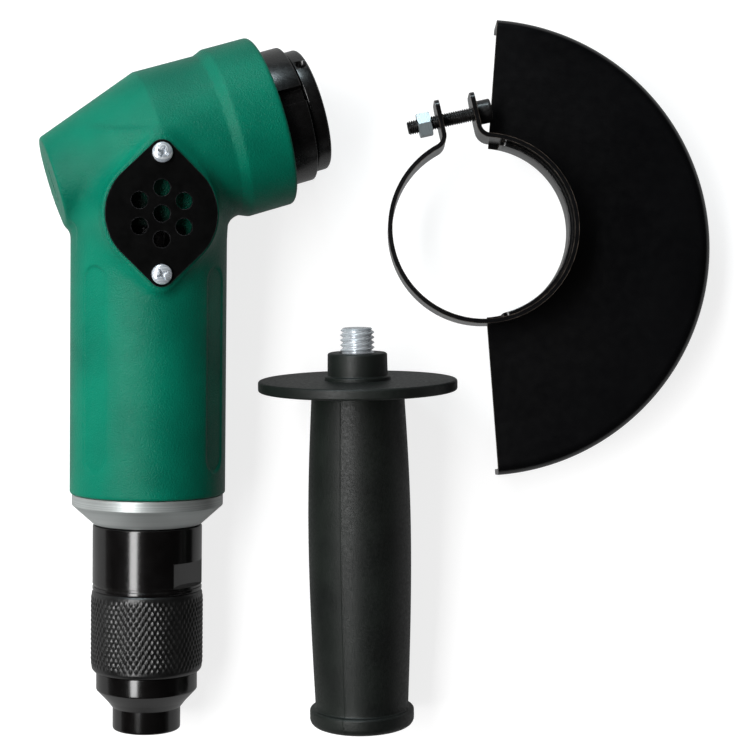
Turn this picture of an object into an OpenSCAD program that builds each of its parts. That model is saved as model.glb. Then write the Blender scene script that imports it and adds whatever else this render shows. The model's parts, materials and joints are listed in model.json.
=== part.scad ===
// Pneumatic angle grinder laid out flat on a bench, with its side handle and its wheel guard.
// Millimetres.  The floor is z = 0.  +Y runs up the layout, from the air inlets end to the heads.
//
// Three items lie side by side:
//   the tool    a cast head and handle with a vane motor, a bevel gear pair and a twist throttle
//   the handle  a moulded grip with a hand guard disc and a threaded stud
//   the guard   a half-round wheel guard with a clamp band, its screw and its nut

/* [Layout] */
// Tool: where the spindle axis crosses the motor axis, across the floor
tool_x = -80.1; // [-120:0.05:-70]
// Tool: the same point, up the floor
tool_y = 74.69; // [40:0.01:120]
// Roll of the tool about its motor axis, wheel side down
tool_roll = 14.5; // [8:0.5:16]
// Swing of the tool on the floor
tool_yaw = -0.7; // [-3:0.1:3]
// Side handle: middle of its hand guard disc, across the floor
handle_x = -7.7; // [-12:0.05:2]
// Side handle: the same point, up the floor
handle_y = -5.25; // [-12:0.01:4]
// Swing of the side handle on the floor
handle_yaw = 0.7; // [-3:0.1:3]
// Guard: centre of its outer arc, across the floor
guard_x = 36.2; // [34:0.05:60]
// Guard: the same point, up the floor
guard_y = 45.09; // [40:0.01:60]

/* [Head] */
// Lean of the spindle away from square to the motor axis
spindle_lean = 17; // [14:0.5:20]
// Diameter of the seat that the wheel guard clamps on
seat_d = 60.2; // [59:0.1:62]
// Length of the guard seat
seat_len = 16.2; // [13:0.1:17]
// Length of the cone between the guard seat and the middle of the head
seat_step = 3.4; // [2:0.1:4]
// Diameter of the middle of the head
head_d = 57.4; // [57:0.1:59]
// Length of the middle of the head
head_len = 22; // [20:0.5:24]
// From the motor axis to the front face of the head
head_front = 44; // [43.5:0.1:45]
// From the motor axis to the rear face of the head
head_rear = 35; // [34.5:0.1:36]
// Diameter of the flat rear face
rear_face_d = 32; // [30:0.5:34]
// Rounding of the rims of the head
head_edge = 1.2; // [0.6:0.1:2]
// Diameter of the gear room
gear_room_d = 48; // [46.5:0.1:48.4]
// Diameter of the bore that holds the bearing cap
cap_bore_d = 45; // [44:0.1:46]

/* [Body tube] */
// Diameter of the body tube
body_d = 54.2; // [53:0.1:56]
// From the axis crossing to the end of the body tube
body_len = 118; // [116:0.1:123]
// Bore of the body tube, which holds the motor
motor_bore_d = 45; // [44:0.1:45.6]
// Length of a grip recess
recess_len = 70; // [50:1:74]
// Width of a grip recess
recess_w = 9.4; // [7:0.1:12]
// Depth of a grip recess
recess_depth = 0.7; // [0.4:0.1:1.5]
// Start of the grip recesses from the axis crossing
recess_start = 39; // [36:1:44]
// Angle of a grip recess from the exhaust cover
recess_angle = 50.5; // [45:0.5:60]

/* [Exhaust cover] */
// From the axis crossing to the middle of the cover, along the body
cover_at = 21.1; // [19:0.1:22]
// Diameter of the round middle of the cover
cover_d = 37.6; // [36:0.1:40]
// Distance between the two screws
cover_span = 40.5; // [39:0.1:44]
// Diameter of the round ends of the cover
cover_end_d = 8.6; // [8.2:0.1:10]
// Thickness of the cover
cover_t = 1.8; // [1.2:0.1:3]
// Height of the pad's face above the axes
pad_h = 29; // [28.6:0.1:30]
// How far the pad stands out round the cover
pad_rim = 1; // [0.6:0.1:2]
// Thickness of the gasket under the cover
gasket_t = 0.5; // [0.3:0.1:1]
// Diameter of an exhaust hole
vent_d = 5.7; // [4:0.05:6]
// Diameter of the ring of exhaust holes
vent_ring_d = 17.2; // [15:0.1:19]
// Exhaust holes in the ring
vent_count = 6; // [3:1:6]
// Wall of the pad round its pocket
pocket_wall = 4.5; // [4:0.1:6]
// Floor of the pocket above the axes
pocket_floor = 25.6; // [25.4:0.1:26]
// Width of the port from the motor bore into the pocket
port_w = 18; // [12:0.5:20]
// Head diameter of a cover screw
cover_screw_head_d = 6.8; // [6:0.1:7.4]
// Head height of a cover screw
cover_screw_head_h = 2.3; // [1.8:0.1:3]
// Thread diameter of a cover screw
cover_screw_d = 3.5; // [3:0.1:4]
// Length of a cover screw under its head
cover_screw_len = 6; // [5:0.1:6.2]

/* [Handle socket] */
// Thread diameter of the side handle's stud
stud_d = 12; // [10:0.5:12]
// Tapping diameter of the socket
socket_d = 10.2; // [8.5:0.1:10.4]
// Depth of the tapped hole
socket_depth = 10.4; // [8:0.1:10.6]
// Height of the socket's face below the axes
socket_h = 35.6; // [35.4:0.1:35.8]
// Diameter of the socket's face
socket_face_d = 22; // [20:0.5:24]
// Diameter of the socket's foot, inside the head
socket_foot_d = 28; // [26:0.5:30]
// Place of the socket in front of the motor axis
socket_at = 4; // [2:0.5:6]

/* [Spindle end] */
// Diameter of the bearing cap
cap_d = 48; // [47:0.1:50]
// Length of the bearing cap in front of the head
cap_len = 9.2; // [8:0.1:9.8]
// Gap between the head and the cap's rim
cap_gap = 0.5; // [0.3:0.1:1]
// Length of the cap's threaded spigot
cap_spigot_len = 15.5; // [15:0.1:16]
// Width of a spanner notch in the cap
notch_w = 5.2; // [4:0.1:6]
// Depth of a spanner notch
notch_depth = 2.8; // [1.5:0.1:2.8]
// Turn of the notches about the spindle
notch_turn = 166; // [150:1:190]
// Diameter of the wheel flange
flange_d = 43.2; // [40:0.1:46]
// Thickness of the wheel flange
flange_t = 5.2; // [4:0.1:6]
// Gap between the cap and the wheel flange
flange_gap = 0.9; // [0.6:0.1:1.5]
// Diameter of the wheel flange's hub
flange_hub_d = 21; // [20:0.1:22]
// Diameter of the pin spanner hole in the flange's rim
flange_hole_d = 3.9; // [3:0.1:4.2]
// Turn of the pin spanner hole about the spindle
flange_hole_turn = 134; // [120:1:150]
// Tapping diameter of the spindle's end
spindle_tap_d = 8.5; // [6.8:0.1:8.8]
// Depth of the tapped hole
spindle_tap_depth = 18; // [14:0.5:20]
// Distance across the spindle's two drive flats
spindle_flat = 12.6; // [12.2:0.1:13.4]

/* [Bearings] */
// Front spindle bearing: bore
front_bore = 15; // [14.6:0.1:15.4]
// Front spindle bearing: outer diameter
front_od = 35; // [34:0.1:36]
// Front spindle bearing: width
front_w = 11; // [10:0.1:11]
// Rear spindle bearing: bore
rear_bore = 8; // [7.6:0.1:8.4]
// Rear spindle bearing: outer diameter
rear_od = 22; // [21.6:0.1:22.4]
// Rear spindle bearing: width
rear_w = 7; // [6.5:0.1:7]
// Rotor bearings: bore
rotor_bore = 10; // [9.8:0.1:10.2]
// Rotor bearings: outer diameter
rotor_od = 26; // [25.6:0.1:26.4]
// Rotor bearings: width
rotor_w = 8; // [7.5:0.1:8]

/* [Bevel gears] */
// Teeth of the pinion
pinion_teeth = 11; // [10:1:13]
// Teeth of the gear on the spindle
gear_teeth = 23; // [20:1:25]
// Cone distance of the gears' outer ends
cone_distance = 19.6; // [19:0.1:20]
// Width of the teeth along the cone
face_w = 7.2; // [6:0.1:7.6]
// Backlash at the pitch line
backlash = 0.16; // [0.12:0.01:0.3]
// Share of a module moved from the gear's teeth to the pinion's
tooth_shift = 0.32; // [0.25:0.01:0.4]

/* [Vane motor] */
// Diameter of the rotor
rotor_d = 32; // [31:0.1:32.4]
// Bore of the motor's cylinder
liner_bore_d = 36.6; // [36.4:0.1:37]
// Room along the axis for the preload washer, behind the motor
washer_room = 2.4; // [1.8:0.1:4]
// Outer diameter of the cylinder
liner_d = 43.6; // [43:0.1:43.8]
// Offset of the cylinder's bore from the rotor
liner_offset = 2; // [1.8:0.05:2]
// Vanes in the rotor
vane_count = 5; // [4:1:6]
// Thickness of a vane
vane_t = 2.2; // [1.8:0.1:2.6]
// Depth of a vane
vane_h = 8; // [7:0.1:8.4]
// Thickness of an end plate
plate_t = 4; // [3.5:0.1:4.5]
// Start of the front end plate from the axis crossing
motor_start = 20.8; // [20.6:0.1:21]
// Width of an exhaust notch in the front end plate
exhaust_notch_w = 14; // [10:0.5:16]

/* [Throttle] */
// Diameter of the lock ring
ring_d = 52.7; // [50:0.1:53.2]
// Length of the lock ring's straight rim
ring_rim = 3.8; // [3:0.1:5]
// Length of the lock ring's cone
ring_cone = 6.7; // [6:0.1:9]
// Length of the lock ring's spigot in the body tube
ring_spigot = 17.6; // [17:0.1:18]
// Diameter of the throttle body
throttle_d = 38.2; // [36:0.1:39]
// Length of the throttle body between the lock ring and the sleeve
throttle_len = 22.8; // [20:0.1:26]
// Distance across the spanner flats
spanner_flat = 33; // [32:0.1:36]
// Length of the spanner flats
flat_len = 8.5; // [6:0.1:10]
// Diameter of the knurled throttle sleeve
sleeve_d = 39.3; // [38:0.1:41]
// Length of the throttle sleeve
sleeve_len = 28.6; // [28:0.1:30]
// Chamfer at each end of the sleeve
sleeve_edge = 1; // [0.5:0.1:1.5]
// Diameter of the barrel that the sleeve turns on
barrel_d = 31.2; // [30:0.1:32]
// How far the sleeve turns from closed to open
throttle_turn = 60; // [50:1:60]
// Diameter of the valve
valve_d = 18; // [17:0.1:18.4]
// Length of the valve
valve_len = 14; // [13:0.1:14.4]
// Diameter of an air hole in the valve
valve_hole_d = 5; // [4:0.1:5.2]
// Diameter of the circle of air holes
valve_ring_d = 10.4; // [10:0.1:11]
// Diameter of the drive pin
drive_pin_d = 3; // [2.6:0.1:3.4]

/* [Air inlet] */
// Diameter of the inlet bush's shoulder
shoulder_d = 35.4; // [33:0.1:37]
// Length of the shoulder
shoulder_len = 6.5; // [4:0.1:8]
// Diameter at the end of the first taper
taper_d = 27.6; // [26:0.1:29]
// Length of the first taper
taper_len = 4.2; // [3:0.1:6]
// Length of the second taper
taper2_len = 2.2; // [1.5:0.1:4]
// Diameter of the nose
nose_d = 23.8; // [22:0.1:25]
// Length of the nose
nose_len = 8; // [7:0.1:11]
// Tapping diameter of the air inlet
inlet_d = 15; // [13:0.1:15.2]
// Depth of the air inlet's thread
inlet_depth = 14; // [10:0.5:15]
// Diameter of the air way behind the thread
air_way_d = 12; // [9:0.1:12.2]
// Depth of the strainer's seat below the thread
strainer_seat = 1; // [0.9:0.1:2]

/* [Side handle] */
// Diameter of the hand guard disc
disc_d = 69.4; // [66:0.1:72]
// Thickness of the disc
disc_t = 3.8; // [3:0.1:5]
// Diameter of the grip at the disc
grip_top_d = 32.2; // [30:0.1:34]
// Largest diameter of the grip
grip_d = 36; // [34:0.1:38]
// From the disc's middle to the largest diameter
grip_swell = 54; // [45:0.5:60]
// Diameter of the grip at its end flange
grip_neck_d = 32.7; // [31:0.1:34]
// From the disc's middle to the end of the grip
grip_len = 120.5; // [115:0.5:126]
// Diameter of the end flange
end_d = 36.8; // [35:0.1:39]
// Thickness of the end flange
end_t = 6.2; // [5:0.1:8]
// Rounding of the end flange
end_edge = 2.6; // [1.5:0.1:3]
// Diameter of the collar
collar_d = 20.7; // [19:0.1:22]
// Length of the collar in front of the disc
collar_len = 9.4; // [8:0.1:12]
// Length of the stud in front of the collar
stud_out = 8.6; // [6:0.1:12]
// Diameter of the stud's shank, inside the grip
shank_d = 10.8; // [10:0.1:11.4]
// Length of the stud inside the grip
stud_in = 58; // [40:1:70]

/* [Wheel guard] */
// Radius of the guard's outer arc
guard_r = 82.1; // [78:0.1:84]
// Half of the angle that the guard spans
guard_half = 85.8; // [80:0.1:87]
// Depth of the guard, from its rim to its top
guard_depth = 20; // [16:0.5:26]
// Thickness of the guard's sheet
sheet_t = 2; // [1.6:0.1:2.6]
// Bend radius between the plate and the skirt
guard_bend = 4; // [3:0.1:6]
// Offset of the collar from the centre of the outer arc
collar_shift = 4.4; // [0:0.1:6.4]
// Direction of that offset
collar_turn = 90; // [80:1:110]
// Radius of the drawn collar's bore
collar_r = 30.25; // [30.15:0.05:31.2]
// Thickness of the drawn collar
drawn_t = 1.5; // [1.2:0.1:1.8]
// Height of the drawn collar above the plate
drawn_h = 12; // [8:0.5:13]
// Start of the drawn collar's arc
drawn_from = -77; // [-80:1:-70]
// End of the drawn collar's arc
drawn_to = 79; // [70:1:80]

/* [Clamp band] */
// Thickness of the clamp band
band_t = 1.6; // [1.2:0.1:2]
// Width of the clamp band
band_w = 16; // [13:0.5:18]
// Clearance between the band and the drawn collar
band_gap = 0.05; // [0.05:0.01:0.2]
// Direction of the gap between the band's ears
ear_turn = 102.5; // [100:0.5:106]
// Gap between the ears
ear_gap = 11; // [9:0.1:12]
// Bend radius outside each ear
ear_bend = 3.5; // [2.5:0.1:4.5]
// From the collar's centre to the end of the ears
ear_reach = 47.7; // [45.5:0.1:50]
// Rounding of the ears' corners
ear_corner = 3; // [2:0.1:4]
// From the collar's centre to the screw
screw_reach = 40.9; // [40:0.1:41]
// Thread diameter of the clamp screw
screw_d = 5; // [4.6:0.1:5]
// Length of the clamp screw under its head
screw_len = 25; // [24.6:0.1:28]
// Head diameter of the clamp screw
screw_head_d = 8.5; // [8:0.1:9]
// Head length of the clamp screw
screw_head_len = 5.2; // [4.6:0.1:6]
// Distance across the screw's hexagon socket
screw_hex = 4; // [3:0.1:4.2]
// Depth of the hexagon socket
screw_hex_depth = 2.6; // [2:0.1:3]
// Diameter of the holes in the ears
ear_hole_d = 5.6; // [5.5:0.1:6]
// Distance across the nut's flats
nut_w = 8; // [7.6:0.1:8.6]
// Thickness of the nut
nut_t = 4.7; // [4:0.1:5]
// Gap that the nut has still to close
nut_gap = 2.4; // [2:0.1:3.6]

/* [Fits] */
// Radial clearance of a pressed or screwed joint
seat_fit = 0.02; // [0.01:0.01:0.03]
// Radial clearance of a joint that turns or slides
run_fit = 0.05; // [0.03:0.01:0.08]
// Axial clearance between parts that move past each other
end_fit = 0.3; // [0.2:0.05:0.35]

/* [Hidden] */

$fn = 96;
cut = 0.5;                       // how far a cutter runs past what it cuts
pressure_angle = 20;

// ---- along the spindle, measured from the axis crossing towards the wheel ----
seat_from = head_front - seat_len;
head_to = seat_from - seat_step;
head_from = head_to - head_len;
cap_from = head_front + cap_gap;
cap_to = cap_from + cap_len;
flange_from = cap_to + flange_gap;
flange_to = flange_from + flange_t;
front_to = head_front - 4;       // the front bearing sits 4 mm behind the head's face
front_from = front_to - front_w;
gear_seat_to = 19.5;             // the gear's hub rests on the spindle's collar here
rear_to = -20;
rear_from = rear_to - rear_w;
journal_r = 6;                   // spindle under the gear
collar_of_spindle_r = 9.6;
circlip_from = 0.5;
circlip_t = 1.2;

// ---- along the motor, measured from the axis crossing towards the inlet ----
ring_from = body_len + 0.2;
ring_in = ring_from - ring_spigot;
washer_t = 0.8;
rear_plate_to = ring_in - washer_room;      // the ring clamps the motor through the washer
liner_from = motor_start + rotor_w + plate_t;
liner_to = rear_plate_to - rotor_w - plate_t;
rotor_len = liner_to - liner_from - 2 * end_fit;
ring_cone_from = ring_from + ring_rim;
ring_to = ring_cone_from + ring_cone;
throttle_from = ring_to + 0.4;
sleeve_from = throttle_from + throttle_len + 0.1;
sleeve_to = sleeve_from + sleeve_len;
shoulder_from = sleeve_to + 0.1;
taper_from = shoulder_from + shoulder_len;
taper2_from = taper_from + taper_len;
nose_from = taper2_from + taper2_len;
inlet_end = nose_from + nose_len;
valve_from = sleeve_from - 3;
valve_to = valve_from + valve_len;
web_t = 4;                       // wall in front of the valve, with the matching air holes
pin_at = valve_to - 4;
shaft_r = 4;                     // rotor shaft under the pinion
throttle_spigot_r = 16;
bush_spigot_r = 12.5;
bush_from = valve_to + 5.4;
strainer_at = inlet_end - inlet_depth - strainer_seat;
strainer_r = (air_way_d + inlet_d) / 4 - 0.35;

// ---- bevel gears ----
shaft_angle = 90 + spindle_lean;
gear_ratio = gear_teeth / pinion_teeth;
pinion_cone = atan2(sin(shaft_angle), gear_ratio + cos(shaft_angle));
gear_cone = shaft_angle - pinion_cone;
module_out = 2 * cone_distance * sin(pinion_cone) / pinion_teeth;
face_share = 1 - face_w / cone_distance;         // inner end of the teeth, as a share of the outer
pinion_add = (1 + tooth_shift) * module_out;
pinion_ded = (1.22 - tooth_shift) * module_out;
gear_fn = 60;
gear_add = (1 - tooth_shift) * module_out;
gear_ded = (1.22 + tooth_shift) * module_out;

// ---- how the tool rests: on the rim of its guard seat and on the end of its body tube ----
function spindle_dip(pitch) =
    cos(spindle_lean) * sin(tool_roll) * cos(pitch) - sin(spindle_lean) * sin(pitch);
function axis_height(pitch) = let(dip = spindle_dip(pitch))
    (head_front - head_edge) * dip + (seat_d / 2 - head_edge) * sqrt(1 - dip * dip) + head_edge;
function rest_pitch(pitch, rounds) = rounds == 0 ? pitch :
    rest_pitch(asin((axis_height(pitch) - (body_d / 2 - body_edge) * cos(pitch) - body_edge)
                    / (body_len - body_edge)), rounds - 1);
body_edge = 0.8;
tool_pitch = rest_pitch(5, 12);
tool_z = axis_height(tool_pitch);

// ---- how the side handle rests: on the rim of its disc and on its end flange ----
handle_rest_len = grip_len - end_edge;
function rest_tilt(tilt, rounds) = rounds == 0 ? tilt :
    rest_tilt(asin((((disc_d - disc_t) / 2 - end_d / 2 + end_edge) * cos(tilt)
                    + disc_t / 2 - end_edge) / handle_rest_len), rounds - 1);
handle_tilt = rest_tilt(8, 12);
handle_z = (disc_d - disc_t) / 2 * cos(handle_tilt) + disc_t / 2 + 0.02;

// ---- guard ----
plate_z = guard_depth;
collar_x = collar_shift * cos(collar_turn);
collar_y = collar_shift * sin(collar_turn);
band_ri = collar_r + drawn_t + band_gap;
band_ro = band_ri + band_t;
band_z = plate_z + 0.4;
ear_out = ear_gap / 2 + band_t;                   // outer face of an ear from the gap's middle
bend_y = sqrt(pow(band_ro + ear_bend, 2) - pow(ear_out + ear_bend, 2));
bend_angle = atan2(ear_out + ear_bend, bend_y);
screw_z = band_z + band_w / 2;
nut_face = ear_out + nut_gap;

casting_green = "#0b7a63";
black_steel = "#26262a";
black_plastic = "#1b1c1e";
bright_steel = "#b9bcc0";
zinc = "#c9ced2";
aluminium = "#b4b8bb";
bronze = "#8c6a3a";

// ======== helpers ========

function unit(v) = v / norm(v);

// Points of one corner, rounded to radius r by n straight steps
function corner(before, at, after, r, n = 5) = r <= 0 ? [at] : let(
    a = unit(before - at), b = unit(after - at),
    half = acos(a * b) / 2,
    reach = min(r / tan(half), 0.48 * norm(before - at), 0.48 * norm(after - at)),
    radius = reach * tan(half),
    mid = at + unit(a + b) * radius / sin(half),
    from = at + a * reach - mid, to = at + b * reach - mid,
    start = atan2(from.y, from.x),
    turn = atan2(to.y, to.x) - start,
    sweep = turn > 180 ? turn - 360 : turn < -180 ? turn + 360 : turn
) [for (i = [0:n]) mid + radius * [cos(start + sweep * i / n), sin(start + sweep * i / n)]];

// Outline from [x, y, rounding] corners
function rounded(path) = let(n = len(path)) [
    for (i = [0:n - 1]) let(p = path[(i + n - 1) % n], q = path[i], s = path[(i + 1) % n])
        each corner([p.x, p.y], [q.x, q.y], [s.x, s.y], len(q) > 2 ? q[2] : 0)
];

// Solid of revolution about Z from [radius, z, rounding] corners
module turned(path) {
    rotate_extrude() polygon(rounded(path));
}

module ring(outer_r, inner_r, from, to) {
    translate([0, 0, from]) difference() {
        cylinder(r = outer_r, h = to - from);
        translate([0, 0, -cut]) cylinder(r = inner_r, h = to - from + 2 * cut);
    }
}

// Outline with two round ends, its length along Y
module slot_outline(length, width) {
    square([width, length - width], center = true);
    for (end = [-1, 1]) translate([0, end * (length - width) / 2]) circle(d = width);
}

// ---- frames ----
module tool() {
    translate([tool_x, tool_y, tool_z]) rotate([tool_pitch, 0, tool_yaw])
        rotate([0, tool_roll, 0]) children();
}

// Z along the spindle towards the wheel, Y up the head, X away from the exhaust cover
module along_spindle() {
    rotate([0, 0, spindle_lean]) rotate([0, 90, 0]) children();
}

// Z along the motor towards the air inlet, Y towards the exhaust cover
module along_motor() {
    rotate([90, 0, 0]) children();
}

module at_spindle() { tool() along_spindle() children(); }

module at_motor() { tool() along_motor() children(); }

// Z along the side handle from its end to its stud, from the middle of the disc
module at_handle() {
    translate([handle_x, handle_y, handle_z]) rotate([handle_tilt - 90, 0, handle_yaw]) children();
}

module at_guard() { translate([guard_x, guard_y, 0]) children(); }

// From the centre of the guard's collar, Y towards the gap between the ears
module at_band() {
    at_guard() translate([collar_x, collar_y, 0]) rotate(ear_turn - 90) children();
}

// ======== bearings ========

function race_step(bore, od) = (od - bore) / 2;
function ball_r(bore, od) = 0.29 * race_step(bore, od);
function ball_ring(bore, od) = (bore + od) / 4;

module race_groove(bore, od, width, clearance) {
    translate([0, 0, width / 2]) rotate_extrude()
        translate([ball_ring(bore, od), 0]) circle(r = ball_r(bore, od) + clearance, $fn = 48);
}

module inner_race(bore, od, width) {
    difference() {
        ring(bore / 2 + 0.3 * race_step(bore, od), bore / 2 + seat_fit, 0, width);
        race_groove(bore, od, width, run_fit);
    }
}

// The outer race with its two shields, and the balls between them
module outer_race_and_balls(bore, od, width) {
    race_r = bore / 2 + 0.7 * race_step(bore, od);
    shield_r = bore / 2 + 0.3 * race_step(bore, od) + 0.25;
    shield_t = 0.5;
    difference() {
        turned([[od / 2, 0, 0.4], [od / 2, width, 0.4], [shield_r, width], [shield_r, width - shield_t],
                [race_r, width - shield_t], [race_r, shield_t], [shield_r, shield_t], [shield_r, 0]]);
        race_groove(bore, od, width, seat_fit);
    }
    count = floor(180 / asin(1.12 * ball_r(bore, od) / ball_ring(bore, od)));
    for (i = [0:count - 1]) rotate(i * 360 / count)
        translate([ball_ring(bore, od), 0, width / 2]) sphere(r = ball_r(bore, od));
}

// ======== tool: the casting and what closes it ========

// Block with the cover's outline: a round middle that runs out to two small round ends
module cover_block(height, grow = 0) {
    end_at = cover_span / 2;
    side = acos((cover_d - cover_end_d) / 2 / end_at);
    tuck = grow - 0.04;          // keeps the straight sides just inside the round ends
    cylinder(d = cover_d + 2 * grow, h = height);
    for (end = [-1, 1]) {
        translate([0, end * end_at, 0]) cylinder(d = cover_end_d + 2 * grow, h = height);
        linear_extrude(height) polygon([
            for (p = [[cover_d, 0, 1], [cover_end_d, end_at, 1], [cover_end_d, end_at, -1], [cover_d, 0, -1]])
                [p[2] * (p[0] / 2 + tuck) * sin(side), end * (p[1] + (p[0] / 2 + tuck) * cos(side))]
        ]);
    }
}

module at_cover(height) { translate([0, -cover_at, height]) children(); }

module at_cover_screws() {
    for (end = [-1, 1]) translate([0, end * cover_span / 2, 0]) children();
}

module vents(height) {
    cylinder(d = vent_d, h = height);
    for (i = [0:vent_count - 1]) rotate(90 + i * 360 / vent_count)
        translate([vent_ring_d / 2, 0, 0]) cylinder(d = vent_d, h = height);
}

module head_form() {
    along_spindle() turned([
        [0, -head_rear], [rear_face_d / 2, -head_rear, head_edge],
        [head_d / 2 + 0.2, head_from, 2], [head_d / 2, head_to, 0.8],
        [seat_d / 2, seat_from, 0.8], [seat_d / 2, head_front, head_edge], [0, head_front],
    ]);
}

module body_form() {
    along_motor() turned([[0, 0], [body_d / 2, 0], [body_d / 2, body_len, body_edge], [0, body_len]]);
}

module pad_form() {
    at_cover(body_d / 4) cover_block(pad_h - body_d / 4, pad_rim);
}

module at_socket() {
    along_spindle() translate([0, 0, socket_at]) rotate([0, 90, 0]) children();
}

module socket_form() {
    foot = head_d / 2 - 6;
    at_socket() translate([0, 0, foot])
        cylinder(d1 = socket_foot_d, d2 = socket_face_d, h = socket_h - foot);
}

module gear_room() {
    along_spindle() {
        turned([
            [0, rear_to - cut], [rear_od / 2 - 1.5, rear_to - cut], [rear_od / 2 - 1.5, -15],
            [gear_room_d / 2 - 4, -5, 3], [gear_room_d / 2, 1, 3], [gear_room_d / 2, front_from - 2.2, 1],
            [0, front_from - 2.2],
        ]);
        translate([0, 0, front_from - 2.3]) cylinder(d = cap_bore_d, h = head_front - front_from + 3);
        translate([0, 0, rear_from]) cylinder(d = rear_od + 2 * seat_fit, h = rear_w);
        translate([0, 0, -head_rear - cut]) cylinder(d = plug_d, h = head_rear + cut + rear_from + 0.1);
    }
}

module motor_room() {
    along_motor() {
        translate([0, 0, motor_start - 0.1]) cylinder(d = motor_bore_d, h = body_len);
        cylinder(r = 13.6, h = motor_start + 1);
    }
}

module exhaust_way() {
    at_cover(pocket_floor) cylinder(d = cover_d - 2 * pocket_wall, h = pad_h - pocket_floor + cut);
    intersection() {
        at_cover(body_d / 4) cylinder(d = cover_d - 2 * pocket_wall - 1, h = pocket_floor + 1 - body_d / 4);
        translate([-port_w / 2, -cover_at - cover_d / 2, 0])
            cube([port_w, cover_d / 2 - vent_ring_d / 4, pad_h]);
    }
    at_cover(pad_h - cover_screw_grip - 0.5) at_cover_screws()
        cylinder(d = cover_screw_d + 2 * seat_fit, h = cover_screw_grip + 0.5 + cut);
}

module grip_recesses() {
    along_motor() for (side = [-1, 1]) rotate(side * recess_angle)
        translate([0, body_d / 2 - recess_depth, recess_start + recess_len / 2]) rotate([-90, 0, 0])
            linear_extrude(recess_depth + cut) slot_outline(recess_len, recess_w);
}

plug_d = 13;
cover_screw_grip = cover_screw_len - cover_t - gasket_t;

module gear_housing() {
    color(casting_green) tool() difference() {
        union() {
            head_form();
            body_form();
            pad_form();
            socket_form();
        }
        gear_room();
        motor_room();
        exhaust_way();
        grip_recesses();
        at_socket() translate([0, 0, socket_h - socket_depth])
            cylinder(d = socket_d, h = socket_depth + cut);
    }
}

// Screwed into the rear face, over the rear bearing
module rear_plug() {
    slot_w = 1.8;
    slot_len = 8.7;
    slot_depth = 1.6;
    color(casting_green) at_spindle() difference() {
        translate([0, 0, -head_rear]) cylinder(d = plug_d - 2 * seat_fit, h = head_rear + rear_from - 1);
        translate([-slot_w / 2, -slot_len / 2, -head_rear - cut]) cube([slot_w, slot_len, slot_depth + cut]);
    }
}

module exhaust_gasket() {
    color("#3a3a38") tool() at_cover(pad_h) difference() {
        cover_block(gasket_t, -0.3);
        translate([0, 0, -cut]) cylinder(d = cover_d - 2 * pocket_wall, h = gasket_t + 2 * cut);
        translate([0, 0, -cut]) at_cover_screws() cylinder(d = cover_screw_d + 0.4, h = gasket_t + 2 * cut);
    }
}

module exhaust_cover() {
    color(black_steel) tool() at_cover(pad_h + gasket_t) difference() {
        cover_block(cover_t);
        translate([0, 0, -cut]) {
            vents(cover_t + 2 * cut);
            at_cover_screws() cylinder(d = cover_screw_d + 0.4, h = cover_t + 2 * cut);
        }
    }
}

module pan_screw(head_d, head_h, d, length) {
    turned([[0, -length], [d / 2 - 0.4, -length], [d / 2, 0.4 - length], [d / 2, 0],
            [head_d / 2, 0], [head_d / 2, head_h * 0.45, 0.4], [head_d * 0.22, head_h, 1.4], [0, head_h]]);
}

module cover_screws() {
    color(zinc) tool() at_cover(pad_h + gasket_t + cover_t) at_cover_screws() difference() {
        pan_screw(cover_screw_head_d, cover_screw_head_h, cover_screw_d, cover_screw_len);
        for (turn = [0, 90]) rotate(turn) translate([-1.9, -0.4, cover_screw_head_h - 1.1])
            cube([3.8, 0.8, 1.1 + cut]);
    }
}

// ======== tool: spindle and its bearings ========

module bearing_cap() {
    spigot_r = cap_bore_d / 2 - seat_fit;
    spigot_to = head_front - cap_spigot_len;
    seal_from = front_to + 4.2;
    color(black_steel) at_spindle() difference() {
        turned([
            [front_od / 2 + seat_fit, spigot_to], [spigot_r, spigot_to, 0.5],
            [spigot_r, cap_from], [cap_d / 2, cap_from, 0.3], [cap_d / 2, cap_to, 0.6],
            [flange_hub_d / 2 + 0.7, cap_to], [flange_hub_d / 2 + 0.7, seal_from + 5.2],
            [seal_r + seat_fit, seal_from + 5.2], [seal_r + seat_fit, seal_from - 0.8],
            [front_od / 2 - 2.5, front_to], [front_od / 2 + seat_fit, front_to],
        ]);
        for (side = [0, 180]) rotate(notch_turn + side)
            translate([cap_d / 2 - notch_depth, -notch_w / 2, cap_from - cut])
                cube([notch_depth + cut, notch_w, cap_len + 2 * cut]);
    }
}

seal_r = 14.5;

module spindle_seal() {
    seal_from = front_to + 4.2;
    color("#2c2422") at_spindle() turned([
        [flange_hub_d / 2 + 1.2, seal_from], [seal_r, seal_from, 0.4], [seal_r, seal_from + 5, 0.4],
        [flange_hub_d / 2 + run_fit, seal_from + 5], [flange_hub_d / 2 + run_fit, seal_from + 3.6],
    ]);
}

module front_bearing() {
    color(bright_steel) at_spindle() translate([0, 0, front_from])
        outer_race_and_balls(front_bore, front_od, front_w);
}

module rear_bearing() {
    color(bright_steel) at_spindle() translate([0, 0, rear_from])
        outer_race_and_balls(rear_bore, rear_od, rear_w);
}

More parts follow.
